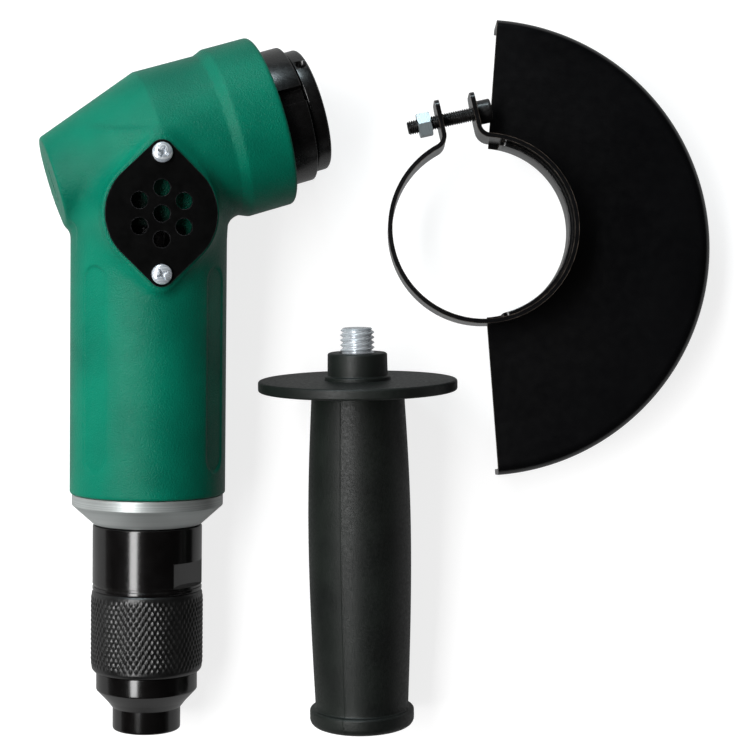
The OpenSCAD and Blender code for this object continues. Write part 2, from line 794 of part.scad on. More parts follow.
module spindle() {
    key_len = 12;
    flats_from = front_to + 1;
    nose_to = flange_to - 0.4;
    color(bright_steel) at_spindle() difference() {
        turned([
            [0, rear_from - 0.4], [rear_bore / 2, rear_from - 0.4, 0.4], [rear_bore / 2, rear_to + 0.2],
            [journal_r, rear_to + 0.2, 0.4],
            [journal_r, circlip_from], [journal_r - 0.7, circlip_from],
            [journal_r - 0.7, circlip_from + circlip_t], [journal_r, circlip_from + circlip_t],
            [journal_r, gear_seat_to], [collar_of_spindle_r, gear_seat_to, 0.4],
            [collar_of_spindle_r, front_from], [front_bore / 2, front_from],
            [front_bore / 2, nose_to, 0.6], [0, nose_to],
        ]);
        for (side = [-1, 1]) translate([side * (spindle_flat / 2 + 5) - 5, -10, flats_from])
            cube([10, 20, nose_to]);
        translate([0, 0, nose_to - spindle_tap_depth])
            cylinder(d = spindle_tap_d, h = spindle_tap_depth + cut);
        gear_key_form(seat_fit);
    }
}

module spindle_races() {
    color(bright_steel) at_spindle() {
        translate([0, 0, front_from]) inner_race(front_bore, front_od, front_w);
        translate([0, 0, rear_from]) inner_race(rear_bore, rear_od, rear_w);
    }
}

// Sunk key between the spindle and the gear, on the side away from the pinion
module gear_key_form(grow = 0) {
    key_w = 3;
    translate([-key_w / 2 - grow, journal_r - 1.6 - grow, 6 - grow])
        cube([key_w + 2 * grow, 2.8 + 2 * grow, 11 + 2 * grow]);
}

module gear_key() { color(bright_steel) at_spindle() gear_key_form(); }

module gear_circlip() {
    color(black_steel) at_spindle() difference() {
        ring(journal_r + 2, journal_r - 0.7 + seat_fit, circlip_from + 0.05, circlip_from + circlip_t - 0.05);
        translate([-1.6, 0, circlip_from - cut]) cube([3.2, 10, circlip_t + 2 * cut]);
    }
}

module wheel_flange() {
    relief_d = 30;
    color(black_steel) at_spindle() difference() {
        turned([
            [0, front_to + 0.1], [flange_hub_d / 2, front_to + 0.1, 0.3],
            [flange_hub_d / 2, flange_from], [flange_d / 2, flange_from, 0.5],
            [flange_d / 2, flange_to, 1.1], [relief_d / 2, flange_to],
            [relief_d / 2 - 0.8, flange_to - 0.8], [0, flange_to - 0.8],
        ]);
        intersection() {
            translate([0, 0, front_to]) cylinder(d = front_bore + 2 * seat_fit, h = flange_to);
            translate([-spindle_flat / 2 - seat_fit, -20, front_to + 1])
                cube([spindle_flat + 2 * seat_fit, 40, flange_to]);
        }
        translate([0, 0, front_to - cut]) cylinder(d = front_bore + 2 * seat_fit, h = 1 + cut);
        rotate(flange_hole_turn) translate([flange_d / 2 - 7, 0, (flange_from + flange_to) / 2])
            rotate([0, 90, 0]) cylinder(d = flange_hole_d, h = 10);
    }
}

// ======== bevel gears ========
// Each gear has its apex at the origin and its teeth on a cone about +Z.

function involute(a) = tan(a) * 180 / PI - a;

// Half of the angle that a tooth takes about its gear's axis, u above the pitch cone
function tooth_half(teeth, cone, shift, u) = let(
    pitch_r = cone_distance * tan(cone),
    virtual_teeth = teeth / cos(cone),
    at_r = pitch_r + u,
    base_r = pitch_r * cos(pressure_angle),
    at_angle = at_r > base_r ? acos(base_r / at_r) : 0,
    pitch_half = (90 + 2 * shift * tan(pressure_angle) * 180 / PI) / virtual_teeth
                 - backlash / 4 / pitch_r * 180 / PI
) (pitch_half + involute(pressure_angle) - involute(at_angle)) / cos(cone);

// A point u above the pitch cone at the outer end, turned by an angle about the axis
function cone_point(cone, u, turn) = let(
    r = cone_distance * sin(cone) + u * cos(cone),
    z = cone_distance * cos(cone) - u * sin(cone)
) [r * cos(turn), r * sin(turn), z];

// The space between two teeth, in slices that run from the apex through both ends of the teeth
module tooth_space(teeth, cone, shift, addendum, dedendum) {
    levels = [-dedendum, -dedendum / 2, 0, addendum / 2, addendum * 1.35];
    lap = 0.02;
    for (i = [0:len(levels) - 2]) {
        low = space_edge(teeth, cone, shift, levels[i]);
        high = space_edge(teeth, cone, shift, levels[i + 1] + lap);
        side = [low[0], low[1], high[1], high[0]];
        hull() polyhedron(
            points = concat([for (p = side) p * face_share * 0.8], [for (p = side) p * 1.25]),
            faces = [[0, 3, 2, 1], [4, 5, 6, 7], [0, 1, 5, 4], [1, 2, 6, 5], [2, 3, 7, 6], [3, 0, 4, 7]]
        );
    }
}

// The two edges of a tooth space, u above the pitch cone
function space_edge(teeth, cone, shift, u) = let(half = 180 / teeth - tooth_half(teeth, cone, shift, u))
    [cone_point(cone, u, half), cone_point(cone, u, -half)];

module bevel_teeth(teeth, cone, shift, addendum, dedendum, phase) {
    difference() {
        children();
        for (i = [0:teeth - 1]) rotate(phase + (i + 0.5) * 360 / teeth)
            tooth_space(teeth, cone, shift, addendum, dedendum);
    }
}

function tip_r(cone, addendum, share = 1) = share * (cone_distance * sin(cone) + addendum * cos(cone));
function tip_z(cone, addendum, share = 1) = share * (cone_distance * cos(cone) - addendum * sin(cone));

module bevel_gear() {
    $fn = gear_fn;
    hub_r = 11.4;
    back = tip_z(gear_cone, -gear_ded) + 3.4;
    color(bright_steel) at_spindle() difference() {
        bevel_teeth(gear_teeth, gear_cone, -tooth_shift, gear_add, gear_ded, gear_phase)
            turned([
                [0, tip_z(gear_cone, gear_add, face_share) + 0.3],
                [tip_r(gear_cone, -gear_ded, face_share) - 1.5, tip_z(gear_cone, gear_add, face_share) + 0.3],
                [tip_r(gear_cone, gear_add, face_share), tip_z(gear_cone, gear_add, face_share)],
                [tip_r(gear_cone, gear_add), tip_z(gear_cone, gear_add)],
                [tip_r(gear_cone, -gear_ded), tip_z(gear_cone, -gear_ded)],
                [tip_r(gear_cone, -gear_ded), back],
                [hub_r + 1.5, back + 2.6, 1], [hub_r, gear_seat_to], [0, gear_seat_to],
            ]);
        translate([0, 0, -1]) cylinder(r = (journal_r + seat_fit) / cos(180 / gear_fn), h = gear_seat_to + 2);
        gear_key_form(seat_fit);
    }
}

// The gear has a tooth space, and the pinion a tooth, where they meet
gear_phase = 270 - 180 / gear_teeth;

module bevel_pinion() {
    $fn = gear_fn;
    hub_r = 8.4;
    back = motor_start - 0.4;
    color(bright_steel) at_motor() difference() {
        bevel_teeth(pinion_teeth, pinion_cone, tooth_shift, pinion_add, pinion_ded, 0)
            turned([
                [0, tip_z(pinion_cone, -pinion_ded, face_share)],
                [tip_r(pinion_cone, -pinion_ded, face_share), tip_z(pinion_cone, -pinion_ded, face_share)],
                [tip_r(pinion_cone, pinion_add, face_share), tip_z(pinion_cone, pinion_add, face_share)],
                [tip_r(pinion_cone, pinion_add), tip_z(pinion_cone, pinion_add)],
                [tip_r(pinion_cone, -pinion_ded) - 0.2, tip_z(pinion_cone, -pinion_ded)],
                [hub_r, back], [0, back],
            ]);
        cylinder(r = (shaft_r + seat_fit) / cos(180 / gear_fn), h = motor_start);
        pinion_key_form(seat_fit);
    }
}

module pinion_key_form(grow = 0) {
    key_w = 2;
    translate([-key_w / 2 - grow, shaft_r - 1.2 - grow, pinion_end + 1 - grow])
        cube([key_w + 2 * grow, 1.9 + 2 * grow, 8 + 2 * grow]);
}

pinion_end = tip_z(pinion_cone, -pinion_ded, face_share);

module pinion_key() { color(bright_steel) at_motor() pinion_key_form(); }

// Holds the pinion on the end of the rotor's shaft
module pinion_screw() {
    head_h = 1.8;
    color(black_steel) at_motor() {
        difference() {
            translate([0, 0, pinion_end - head_h]) cylinder(r = 4.6, h = head_h);
            translate([0, 0, pinion_end - head_h - cut]) cylinder(d = 3, h = 1.2 + cut, $fn = 6);
        }
        translate([0, 0, pinion_end - 0.4]) cylinder(r = 2 - seat_fit, h = 7.4);
    }
}

// ======== vane motor ========

module motor_disc(from, to, pocket_from, pocket_to) {
    difference() {
        ring(motor_bore_d / 2 - seat_fit, rotor_bore / 2 + 0.3 * race_step(rotor_bore, rotor_od) + 0.3, from, to);
        ring(rotor_od / 2 + seat_fit, 1, pocket_from, pocket_to);
    }
}

module front_end_plate() {
    color(black_steel) at_motor() difference() {
        motor_disc(motor_start, liner_from, motor_start - cut, motor_start + rotor_w);
        for (turn = [-32, 0, 32]) rotate(turn) translate([-exhaust_notch_w / 6, motor_bore_d / 2 - 3.5, 0])
            cube([exhaust_notch_w / 3, 10, 200]);
    }
}

module rear_end_plate() {
    color(black_steel) at_motor() difference() {
        motor_disc(liner_to, rear_plate_to, liner_to + plate_t, rear_plate_to + cut);
        for (turn = [150, 180, 210]) rotate(turn) translate([0, 17.6, liner_to - cut])
            cylinder(d = 4, h = plate_t + rotor_w + 2 * cut);
    }
}

module motor_cylinder() {
    port_d = 5;
    color(bright_steel) at_motor() difference() {
        translate([0, 0, liner_from]) cylinder(d = liner_d, h = liner_to - liner_from);
        translate([0, -liner_offset, liner_from - cut])
            cylinder(d = liner_bore_d, h = liner_to - liner_from + 2 * cut);
        for (i = [0:4], turn = [-26, 26]) rotate(turn)
            translate([0, 0, liner_from + rotor_len * (i + 1) / 6]) rotate([-90, 0, 0])
                cylinder(d = port_d, h = liner_d);
    }
}

module rotor_bearings() {
    color(bright_steel) at_motor() {
        translate([0, 0, motor_start]) outer_race_and_balls(rotor_bore, rotor_od, rotor_w);
        translate([0, 0, liner_to + plate_t]) outer_race_and_balls(rotor_bore, rotor_od, rotor_w);
    }
}

module rotor_races() {
    color(bright_steel) at_motor() {
        translate([0, 0, motor_start]) inner_race(rotor_bore, rotor_od, rotor_w);
        translate([0, 0, liner_to + plate_t]) inner_race(rotor_bore, rotor_od, rotor_w);
    }
}

module vane_slots(grow) {
    for (i = [0:vane_count - 1]) rotate((i + 0.5) * 360 / vane_count)
        translate([rotor_d / 2 - 0.3 - vane_h - 2 * grow, -vane_t / 2 - grow, liner_from + end_fit - grow])
            cube([vane_h + 2 * grow + (grow > 0 ? 2 : 0), vane_t + 2 * grow, rotor_len + 2 * grow]);
}

module rotor() {
    step_r = rotor_bore / 2 + 1.5;
    body_from = liner_from + end_fit;
    body_to = body_from + rotor_len;
    color(bright_steel) at_motor() difference() {
        turned([
            [0, pinion_end + 0.1], [shaft_r, pinion_end + 0.1, 0.3], [shaft_r, motor_start - 0.3],
            [rotor_bore / 2, motor_start - 0.3, 0.3], [rotor_bore / 2, motor_start + rotor_w],
            [step_r, motor_start + rotor_w], [step_r, body_from], [rotor_d / 2, body_from],
            [rotor_d / 2, body_to], [step_r, body_to], [step_r, liner_to + plate_t],
            [rotor_bore / 2, liner_to + plate_t], [rotor_bore / 2, rear_plate_to, 0.4], [0, rear_plate_to],
        ]);
        vane_slots(run_fit);
        pinion_key_form(seat_fit);
        cylinder(r = 2, h = pinion_end + 8);
    }
}

// Drawn fully in: in use they slide out against the cylinder
module vanes() { color("#6b4f2a") at_motor() vane_slots(0); }

// ======== throttle and air inlet ========

module preload_washer() {
    color(bright_steel) at_motor()
        ring(motor_bore_d / 2 - 0.6, rotor_od / 2 - 1.4, rear_plate_to + 0.05, rear_plate_to + 0.05 + washer_t);
}

module lock_ring() {
    spigot_r = motor_bore_d / 2 - seat_fit;
    bore_r = throttle_spigot_r + seat_fit;
    color(aluminium) at_motor() turned([
        [spigot_r - 5, ring_in], [spigot_r, ring_in, 0.5], [spigot_r, ring_from],
        [ring_d / 2, ring_from, 0.4], [ring_d / 2, ring_cone_from],
        [throttle_d / 2 - 0.2, ring_to], [bore_r, ring_to], [bore_r, ring_in + 6], [spigot_r - 5, ring_in + 4.6],
    ]);
}

module air_holes(d, length, turn) {
    for (i = [0:2]) rotate(turn + i * 120) translate([valve_ring_d / 2, 0, 0]) cylinder(d = d, h = length);
}

pin_turn = 270;
holes_turn = pin_turn + 60;

module throttle_body() {
    barrel_r = barrel_d / 2;
    spigot_from = ring_in + 6.2;
    slot_half = drive_pin_d / 2 + 0.3;
    color(black_steel) at_motor() difference() {
        turned([
            [0, spigot_from], [throttle_spigot_r, spigot_from, 0.4], [throttle_spigot_r, throttle_from],
            [throttle_d / 2, throttle_from, 0.6], [throttle_d / 2, sleeve_from - 2.2],
            [throttle_d / 2 - 0.6, sleeve_from - 2.2], [throttle_d / 2 - 0.6, sleeve_from - 1.4],
            [throttle_d / 2, sleeve_from - 1.4], [throttle_d / 2, sleeve_from - 0.1, 0.3],
            [barrel_r, sleeve_from - 0.1], [barrel_r, sleeve_to], [0, sleeve_to],
        ]);
        translate([0, 0, spigot_from - cut]) cylinder(r = 11, h = valve_from - web_t - spigot_from + cut);
        translate([0, 0, valve_from - web_t - cut]) air_holes(valve_hole_d, web_t + 2 * cut, holes_turn + 60);
        translate([0, 0, valve_from]) cylinder(d = valve_d + 2 * run_fit, h = sleeve_to);
        translate([0, 0, bush_from]) cylinder(r = bush_spigot_r, h = sleeve_to);
        for (at = seal_places()) translate([0, 0, at]) ring(barrel_r + cut, barrel_r - 1.5, -1.1, 1.1);
        for (side = [0, 180]) rotate(side - recess_angle) translate([-30, spanner_flat / 2, sleeve_from - 2.4 - flat_len])
            cube([60, 10, flat_len]);
        pin_slot(slot_half);
    }
}

// Slot in the barrel that the drive pin sweeps as the sleeve turns
module pin_slot(half) {
    translate([0, 0, pin_at]) rotate(pin_turn) rotate_extrude(angle = throttle_turn)
        translate([valve_d / 4, -half]) square([barrel_d, 2 * half]);
    for (turn = [0, throttle_turn]) rotate(pin_turn + turn) translate([valve_d / 4, 0, pin_at])
        rotate([0, 90, 0]) cylinder(r = half, h = barrel_d);
}

function seal_places() = [sleeve_from + 3.5, sleeve_to - 3.5];

module sleeve_seals() {
    color("#1a1a1a") at_motor() for (at = seal_places()) translate([0, 0, at]) rotate_extrude()
        translate([barrel_d / 2 - 0.75, 0]) circle(r = 0.72, $fn = 48);
}

module throttle_sleeve() {
    color(black_steel) at_motor() difference() {
        turned([
            [barrel_d / 2 + run_fit, sleeve_from], [sleeve_d / 2 - sleeve_edge, sleeve_from],
            [sleeve_d / 2, sleeve_from + sleeve_edge], [sleeve_d / 2, sleeve_to - sleeve_edge],
            [sleeve_d / 2 - sleeve_edge, sleeve_to], [barrel_d / 2 + run_fit, sleeve_to],
        ]);
        rotate(pin_turn) translate([0, 0, pin_at]) rotate([0, 90, 0])
            cylinder(d = drive_pin_d + 2 * seat_fit, h = sleeve_d);
    }
}

module throttle_valve() {
    color(bright_steel) at_motor() difference() {
        translate([0, 0, valve_from + 0.05]) cylinder(d = valve_d, h = valve_len);
        translate([0, 0, valve_from - cut]) air_holes(valve_hole_d, valve_len + 2 * cut, holes_turn);
        rotate(pin_turn) translate([0, 0, pin_at]) rotate([0, 90, 0])
            cylinder(d = drive_pin_d + 2 * seat_fit, h = valve_d);
    }
}

// Through the sleeve and the slot into the valve
module drive_pin() {
    color(bright_steel) at_motor() rotate(pin_turn) translate([0.2, 0, pin_at]) rotate([0, 90, 0])
        cylinder(d = drive_pin_d, h = sleeve_d / 2 - 0.6);
}

// Presses the valve on its seat
module valve_spring() {
    wire_r = 0.55;
    coil_r = valve_d / 2 - 1.4;
    turns = 3;
    steps = 20 * turns;
    sides = 6;
    from = valve_to + 0.1 + wire_r;
    rise = bush_from - 0.1 - wire_r - from;
    color(bright_steel) at_motor() translate([0, 0, from]) polyhedron(
        points = [
            for (i = [0:steps], j = [0:sides - 1]) let(
                turn = 360 * turns * i / steps, around = 360 * j / sides, r = coil_r + wire_r * cos(around)
            ) [r * cos(turn), r * sin(turn), rise * i / steps + wire_r * sin(around)]
        ],
        faces = concat(
            [[for (j = [0:sides - 1]) j]],
            [[for (j = [sides - 1:-1:0]) steps * sides + j]],
            [for (i = [0:steps - 1], j = [0:sides - 1]) let(
                a = i * sides + j, b = i * sides + (j + 1) % sides
            ) each [[a, a + sides, b], [b, a + sides, b + sides]]]
        )
    );
}

module inlet_bush() {
    color(black_steel) at_motor() difference() {
        turned([
            [0, bush_from], [bush_spigot_r - seat_fit, bush_from, 0.4],
            [bush_spigot_r - seat_fit, shoulder_from], [shoulder_d / 2, shoulder_from, 0.5],
            [shoulder_d / 2, taper_from, 0.6], [taper_d / 2, taper2_from, 0.4],
            [nose_d / 2, nose_from], [nose_d / 2, inlet_end, 1], [0, inlet_end],
        ]);
        translate([0, 0, bush_from - cut]) cylinder(d = air_way_d, h = inlet_end - bush_from);
        translate([0, 0, strainer_at]) cylinder(r = strainer_r + 0.2, h = strainer_seat + cut);
        translate([0, 0, inlet_end - inlet_depth]) cylinder(d = inlet_d, h = inlet_depth + cut);
    }
}

module inlet_strainer() {
    wall = 0.5;
    foot = strainer_r / 2;
    brim = air_way_d / 2 - 0.4;
    color(bronze) at_motor() turned([
        [0, bush_from + 1.5], [foot, bush_from + 1.5], [brim, strainer_at + 0.05],
        [strainer_r, strainer_at + 0.05], [strainer_r, strainer_at + 0.8], [brim - wall, strainer_at + 0.8],
        [foot - wall, bush_from + 1.5 + wall], [0, bush_from + 1.5 + wall],
    ]);
}

// ======== side handle ========

spigot_in_disc_d = collar_d - 4;

module handle_grip() {
    hub_to = -disc_t / 2;
    color(black_plastic) at_handle() difference() {
        turned([
            [0, hub_to], [grip_top_d / 2, hub_to, 0.6],
            each [for (i = [1:7]) grip_point(i / 8, grip_top_d, grip_d, hub_to, -grip_swell)],
            [grip_d / 2, -grip_swell],
            each [for (i = [1:7]) grip_point(1 - i / 8, grip_neck_d, grip_d, end_t - grip_len, -grip_swell)],
            [grip_neck_d / 2, end_t - grip_len, 0.5],
            [end_d / 2, end_t - grip_len, end_edge], [end_d / 2, -grip_len, end_edge],
            [0, -grip_len],
        ]);
        translate([0, 0, -disc_t / 2 - collar_root])
            cylinder(d = spigot_in_disc_d + 2 * seat_fit, h = 2 * collar_root);
        translate([0, 0, -stud_in - 1]) cylinder(d = shank_d + 2 * seat_fit, h = stud_in);
    }
}

collar_root = 6;

// A point of the grip's swell: share 0 at its narrow end, 1 at its widest
function grip_point(share, narrow_d, wide_d, narrow_z, wide_z) =
    [(narrow_d + (wide_d - narrow_d) * sin(90 * share)) / 2, narrow_z + (wide_z - narrow_z) * share, 0];

module hand_guard_disc() {
    color(black_plastic) at_handle() difference() {
        turned([[0, -disc_t / 2], [disc_d / 2, -disc_t / 2, 1.7], [disc_d / 2, disc_t / 2, 1.7], [0, disc_t / 2]]);
        translate([0, 0, -disc_t]) cylinder(d = spigot_in_disc_d + 2 * seat_fit, h = 2 * disc_t);
    }
}

module handle_collar() {
    color(black_plastic) at_handle() difference() {
        turned([
            [0, -disc_t / 2 - collar_root], [spigot_in_disc_d / 2, -disc_t / 2 - collar_root],
            [spigot_in_disc_d / 2, disc_t / 2], [collar_d / 2 + 1.2, disc_t / 2, 0.3],
            [collar_d / 2 + 1.2, disc_t / 2 + 1.2, 0.4], [collar_d / 2, disc_t / 2 + 1.6],
            [collar_d / 2, disc_t / 2 + collar_len, 0.7], [0, disc_t / 2 + collar_len],
        ]);
        translate([0, 0, -disc_t - collar_root])
            cylinder(d = shank_d + 2 * seat_fit, h = 2 * (disc_t + collar_root + collar_len));
    }
}

// A shank of the thread's rolling diameter, moulded in, and the thread in front of the collar
module handle_stud() {
    thread_from = disc_t / 2 + collar_len;
    thread_to = thread_from + stud_out;
    color(zinc) at_handle() turned([
        [0, -stud_in], [shank_d / 2, -stud_in, 0.5], [shank_d / 2, thread_from], [stud_d / 2, thread_from],
        [stud_d / 2, thread_to - 1], [stud_d / 2 - 1, thread_to], [0, thread_to],
    ]);
}

// ======== wheel guard ========

module guard_shell() {
    color(black_steel) at_guard() difference() {
        union() {
            rotate([0, 0, -guard_half]) rotate_extrude(angle = 2 * guard_half) polygon(rounded([
                [guard_r, 0], [guard_r, plate_z, guard_bend], [10, plate_z], [10, plate_z - sheet_t],
                [guard_r - sheet_t, plate_z - sheet_t, guard_bend - sheet_t], [guard_r - sheet_t, 0],
            ]));
            translate([collar_x, collar_y, plate_z - sheet_t]) rotate(drawn_from)
                rotate_extrude(angle = drawn_to - drawn_from)
                    translate([collar_r - 1, 0]) square([drawn_t + 1, sheet_t + drawn_h]);
        }
        translate([collar_x, collar_y, -cut]) cylinder(r = collar_r, h = 2 * guard_depth);
    }
}

// One side of the band: half of its arc, its bend and its ear
module band_half() {
    reach = 3 * band_ro;
    intersection() {
        difference() {
            circle(r = band_ro);
            circle(r = band_ri);
        }
        polygon([[0, 0], reach * [sin(bend_angle), cos(bend_angle)], [reach, 0], [reach, -reach], [0, -reach]]);
    }
    intersection() {
        translate([ear_out + ear_bend, bend_y]) difference() {
            circle(r = ear_bend + band_t);
            circle(r = ear_bend);
        }
        polygon([[0, bend_y], [ear_out + ear_bend, bend_y], [0, 0]]);
    }
    translate([ear_out - band_t, bend_y]) square([band_t, ear_reach - bend_y]);
}

module clamp_band() {
    color(black_steel) at_band() difference() {
        translate([0, 0, band_z]) linear_extrude(band_w) {
            band_half();
            mirror([1, 0, 0]) band_half();
        }
        for (side = [-1, 1], end = [0, 1]) translate([0, ear_reach - ear_corner, screw_z])
            mirror([0, 0, end]) translate([side * ear_out, 0, band_w / 2 - ear_corner]) difference() {
                translate([-ear_gap / 3, 0, 0]) cube([ear_gap / 1.5, ear_corner + cut, ear_corner + cut]);
                rotate([0, 90, 0]) cylinder(r = ear_corner, h = ear_gap, center = true);
            }
        translate([-2 * ear_out, screw_reach, screw_z]) rotate([0, 90, 0])
            cylinder(d = ear_hole_d, h = 4 * ear_out);
    }
}

// Z along the clamp screw, from under its head towards its tip
module at_screw() {
    at_band() translate([ear_out, screw_reach, screw_z]) rotate([0, -90, 0]) children();
}

module clamp_screw() {
    color(black_steel) at_screw() difference() {
        turned([
            [0, -screw_head_len], [screw_head_d / 2, -screw_head_len, 0.5], [screw_head_d / 2, 0],
            [screw_d / 2, 0], [screw_d / 2, screw_len - 0.7], [screw_d / 2 - 0.7, screw_len], [0, screw_len],
        ]);
        translate([0, 0, -screw_head_len - cut])
            cylinder(d = screw_hex / cos(30), h = screw_hex_depth + cut, $fn = 6);
    }
}

module clamp_nut() {
    color(zinc) at_screw() translate([0, 0, ear_out + nut_face]) difference() {
        intersection() {
            cylinder(d = nut_w / cos(30), h = nut_t, $fn = 6);
            turned([[0, -0.01], [nut_w / 2, -0.01], [nut_w / 2 + 0.9, 0.5], [nut_w / 2 + 0.9, nut_t - 0.5],
                    [nut_w / 2, nut_t + 0.01], [0, nut_t + 0.01]]);
        }
        translate([0, 0, -cut]) cylinder(d = screw_d + 2 * run_fit, h = nut_t + 2 * cut);
    }
}

gear_housing();
rear_plug();
exhaust_gasket();
exhaust_cover();
cover_screws();
bearing_cap();
spindle_seal();
front_bearing();
rear_bearing();
front_end_plate();
motor_cylinder();
rear_end_plate();
rotor_bearings();
preload_washer();
lock_ring();
throttle_body();
sleeve_seals();
valve_spring();
inlet_bush();
inlet_strainer();
spindle();
spindle_races();
bevel_gear();
gear_key();
gear_circlip();
wheel_flange();
rotor();
vanes();
bevel_pinion();
pinion_key();
pinion_screw();
rotor_races();
throttle_sleeve();
throttle_valve();
drive_pin();
handle_grip();
hand_guard_disc();
handle_collar();
handle_stud();
guard_shell();
clamp_band();
clamp_screw();
clamp_nut();
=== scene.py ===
# %% [markdown]
# Pneumatic angle grinder, laid out flat with its side handle and its wheel guard.
# The mechanical model gives every solid, its place and how it moves.  This lesson dresses it: the
# casting gets its blended form and its textured enamel, the turned steel gets its knurl, its threads
# and its small radii, and the two loose items get their moulded and pressed shapes.

# %% Load the mechanical model
import json
import math
import bpy
import bmesh
import numpy as np
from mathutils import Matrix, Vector


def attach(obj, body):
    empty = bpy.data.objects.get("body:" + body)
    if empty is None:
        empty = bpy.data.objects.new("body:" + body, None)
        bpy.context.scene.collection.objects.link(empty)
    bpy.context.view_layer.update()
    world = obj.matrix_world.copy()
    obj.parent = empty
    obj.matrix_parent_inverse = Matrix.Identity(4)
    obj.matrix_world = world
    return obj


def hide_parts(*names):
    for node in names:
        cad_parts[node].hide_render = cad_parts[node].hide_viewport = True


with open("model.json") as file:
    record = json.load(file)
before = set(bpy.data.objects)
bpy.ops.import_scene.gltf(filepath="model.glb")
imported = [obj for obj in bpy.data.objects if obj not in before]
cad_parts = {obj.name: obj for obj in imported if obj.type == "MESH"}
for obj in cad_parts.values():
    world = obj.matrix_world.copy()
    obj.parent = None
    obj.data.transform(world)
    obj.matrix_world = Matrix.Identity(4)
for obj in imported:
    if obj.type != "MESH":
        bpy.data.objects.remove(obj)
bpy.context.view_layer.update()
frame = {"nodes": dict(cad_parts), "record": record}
record = frame["record"]
nodes = frame["nodes"]
joints = {j["name"]: j for j in record["behaviour"]["joints"]}
mounts = {m["name"]: m for m in record["mounts"]}

# %% [markdown]
# Everything on the tool is turned about one of two axes: the spindle and the motor.  The handle is
# turned about its stud, and the guard stands on its collar.  Each gets a frame in millimetres, worked
# out from the joints and mounts, so a profile can be typed in just as it would be on a drawing.

# %% Frames in millimetres
def unit(v):
    v = np.asarray(v, float)
    return v / np.linalg.norm(v)

class Place:
    """A right-handed frame: millimetres in, the scene's metres out."""
    def __init__(self, origin, x, y, z):
        self.o, self.axes = np.asarray(origin, float), np.array([unit(x), unit(y), unit(z)])
    def out(self, points):
        return self.o + np.asarray(points, float) @ self.axes * 0.001
    def into(self, points):
        return (np.asarray(points, float) - self.o) @ self.axes.T * 1000
    def shifted(self, dx, dy, dz):
        return Place(self.out([dx, dy, dz]), *self.axes)

crossing = joints["spindle_spin"]["pos_m"]
spindle_dir = unit(joints["spindle_spin"]["axis"])
tail_dir = unit(joints["rotor_spin"]["axis"])
up_body = -tail_dir
out_of_cover = unit(np.cross(spindle_dir, up_body))
across = np.cross(up_body, out_of_cover)

TOOL = Place(crossing, across, up_body, out_of_cover)
SPINDLE = Place(crossing, -out_of_cover, np.cross(spindle_dir, -out_of_cover), spindle_dir)
MOTOR = Place(crossing, across, out_of_cover, tail_dir)

stud_mount = mounts["handle_stud"]
stud_dir = unit(stud_mount["axis"])
sideways = unit(np.cross(stud_dir, [0, 0, 1]))
DISC_T, COLLAR_LEN, STUD_OUT = 3.8, 9.4, 8.6
disc_to_mount = DISC_T / 2 + COLLAR_LEN + stud_mount["dims"]["length_mm"] / 2
disc_middle = np.array(stud_mount["pos_m"]) - stud_dir * disc_to_mount * 0.001
HANDLE = Place(disc_middle, sideways, np.cross(stud_dir, sideways), stud_dir)

ear_across = -unit(joints["clamp_screw_turn"]["axis"])
ear_out = np.cross([0, 0, 1], ear_across)
ring_middle = np.array(mounts["guard_clamp"]["pos_m"]) * [1, 1, 0]
COLLAR_SHIFT = 4.4
GUARD = Place(ring_middle - np.array([0, COLLAR_SHIFT, 0]) * 0.001, [1, 0, 0], [0, 1, 0], [0, 0, 1])
SCREW = Place(joints["clamp_screw_turn"]["pos_m"], ear_out, np.cross(-ear_across, ear_out), -ear_across)
lean = math.degrees(math.asin(float(spindle_dir @ up_body)))
print("spindle leans", round(lean, 2), "degrees forward of square")

# %% [markdown]
# A dressed piece has to meet its neighbours where the solids do.  So the places along the motor's
# axis, which several pieces share, are written once, each from the one before it.  They are counted
# from where the motor's axis meets the spindle's.

# %% Places along the tool
BODY_R, BODY_LEN = 27.1, 118.0
RING_FROM = BODY_LEN + 0.2
RING_IN, RING_CONE, RING_TO = RING_FROM - 17.6, RING_FROM + 3.8, RING_FROM + 10.5
THROTTLE_FROM = RING_TO + 0.4
SLEEVE_FROM = THROTTLE_FROM + 22.9
SLEEVE_TO = SLEEVE_FROM + 28.6
VALVE_FROM, BUSH_IN = SLEEVE_FROM - 3, SLEEVE_FROM + 16.4
FLAT_FROM, FLAT_TO = SLEEVE_FROM - 10.9, SLEEVE_FROM - 2.4
TAPER_FROM = SLEEVE_TO + 6.6
NOSE_FROM = TAPER_FROM + 6.4
INLET_END = NOSE_FROM + 8.0
PAD_TOP, COVER_AT, COVER_R, COVER_END_R, COVER_HALF = 29.0, 21.1, 18.8, 4.3, 20.25
print("inlet ends", round(INLET_END, 1), "mm from the spindle")

# %% [markdown]
# A small kit makes most of the pieces.  Blender could turn a profile with its Screw modifier, but a
# grid of points built in code also allows spanner flats, threads and knurls, because any point can be
# moved before the mesh is made.  Corners are rounded on the profile itself, as a lathe tool would.

# %% Mesh kit
def piece(name, verts, faces, body, stands_for=(), smooth=40.0):
    """Make a mesh object that rides on a body and stands for solids of the model."""
    mesh = bpy.data.meshes.new(name)
    mesh.from_pydata(np.asarray(verts, float).tolist(), [], [list(map(int, f)) for f in faces])
    made = bmesh.new()
    made.from_mesh(mesh)
    bmesh.ops.remove_doubles(made, verts=made.verts, dist=2e-6)
    bmesh.ops.dissolve_degenerate(made, edges=made.edges, dist=1e-6)
    bmesh.ops.recalc_face_normals(made, faces=made.faces)
    made.to_mesh(mesh)
    made.free()
    mesh.shade_smooth()
    mesh.set_sharp_from_angle(angle=math.radians(smooth))
    obj = bpy.data.objects.new(name, mesh)
    bpy.context.scene.collection.objects.link(obj)
    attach(obj, body)
    if stands_for:
        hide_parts(*stands_for)
    return obj

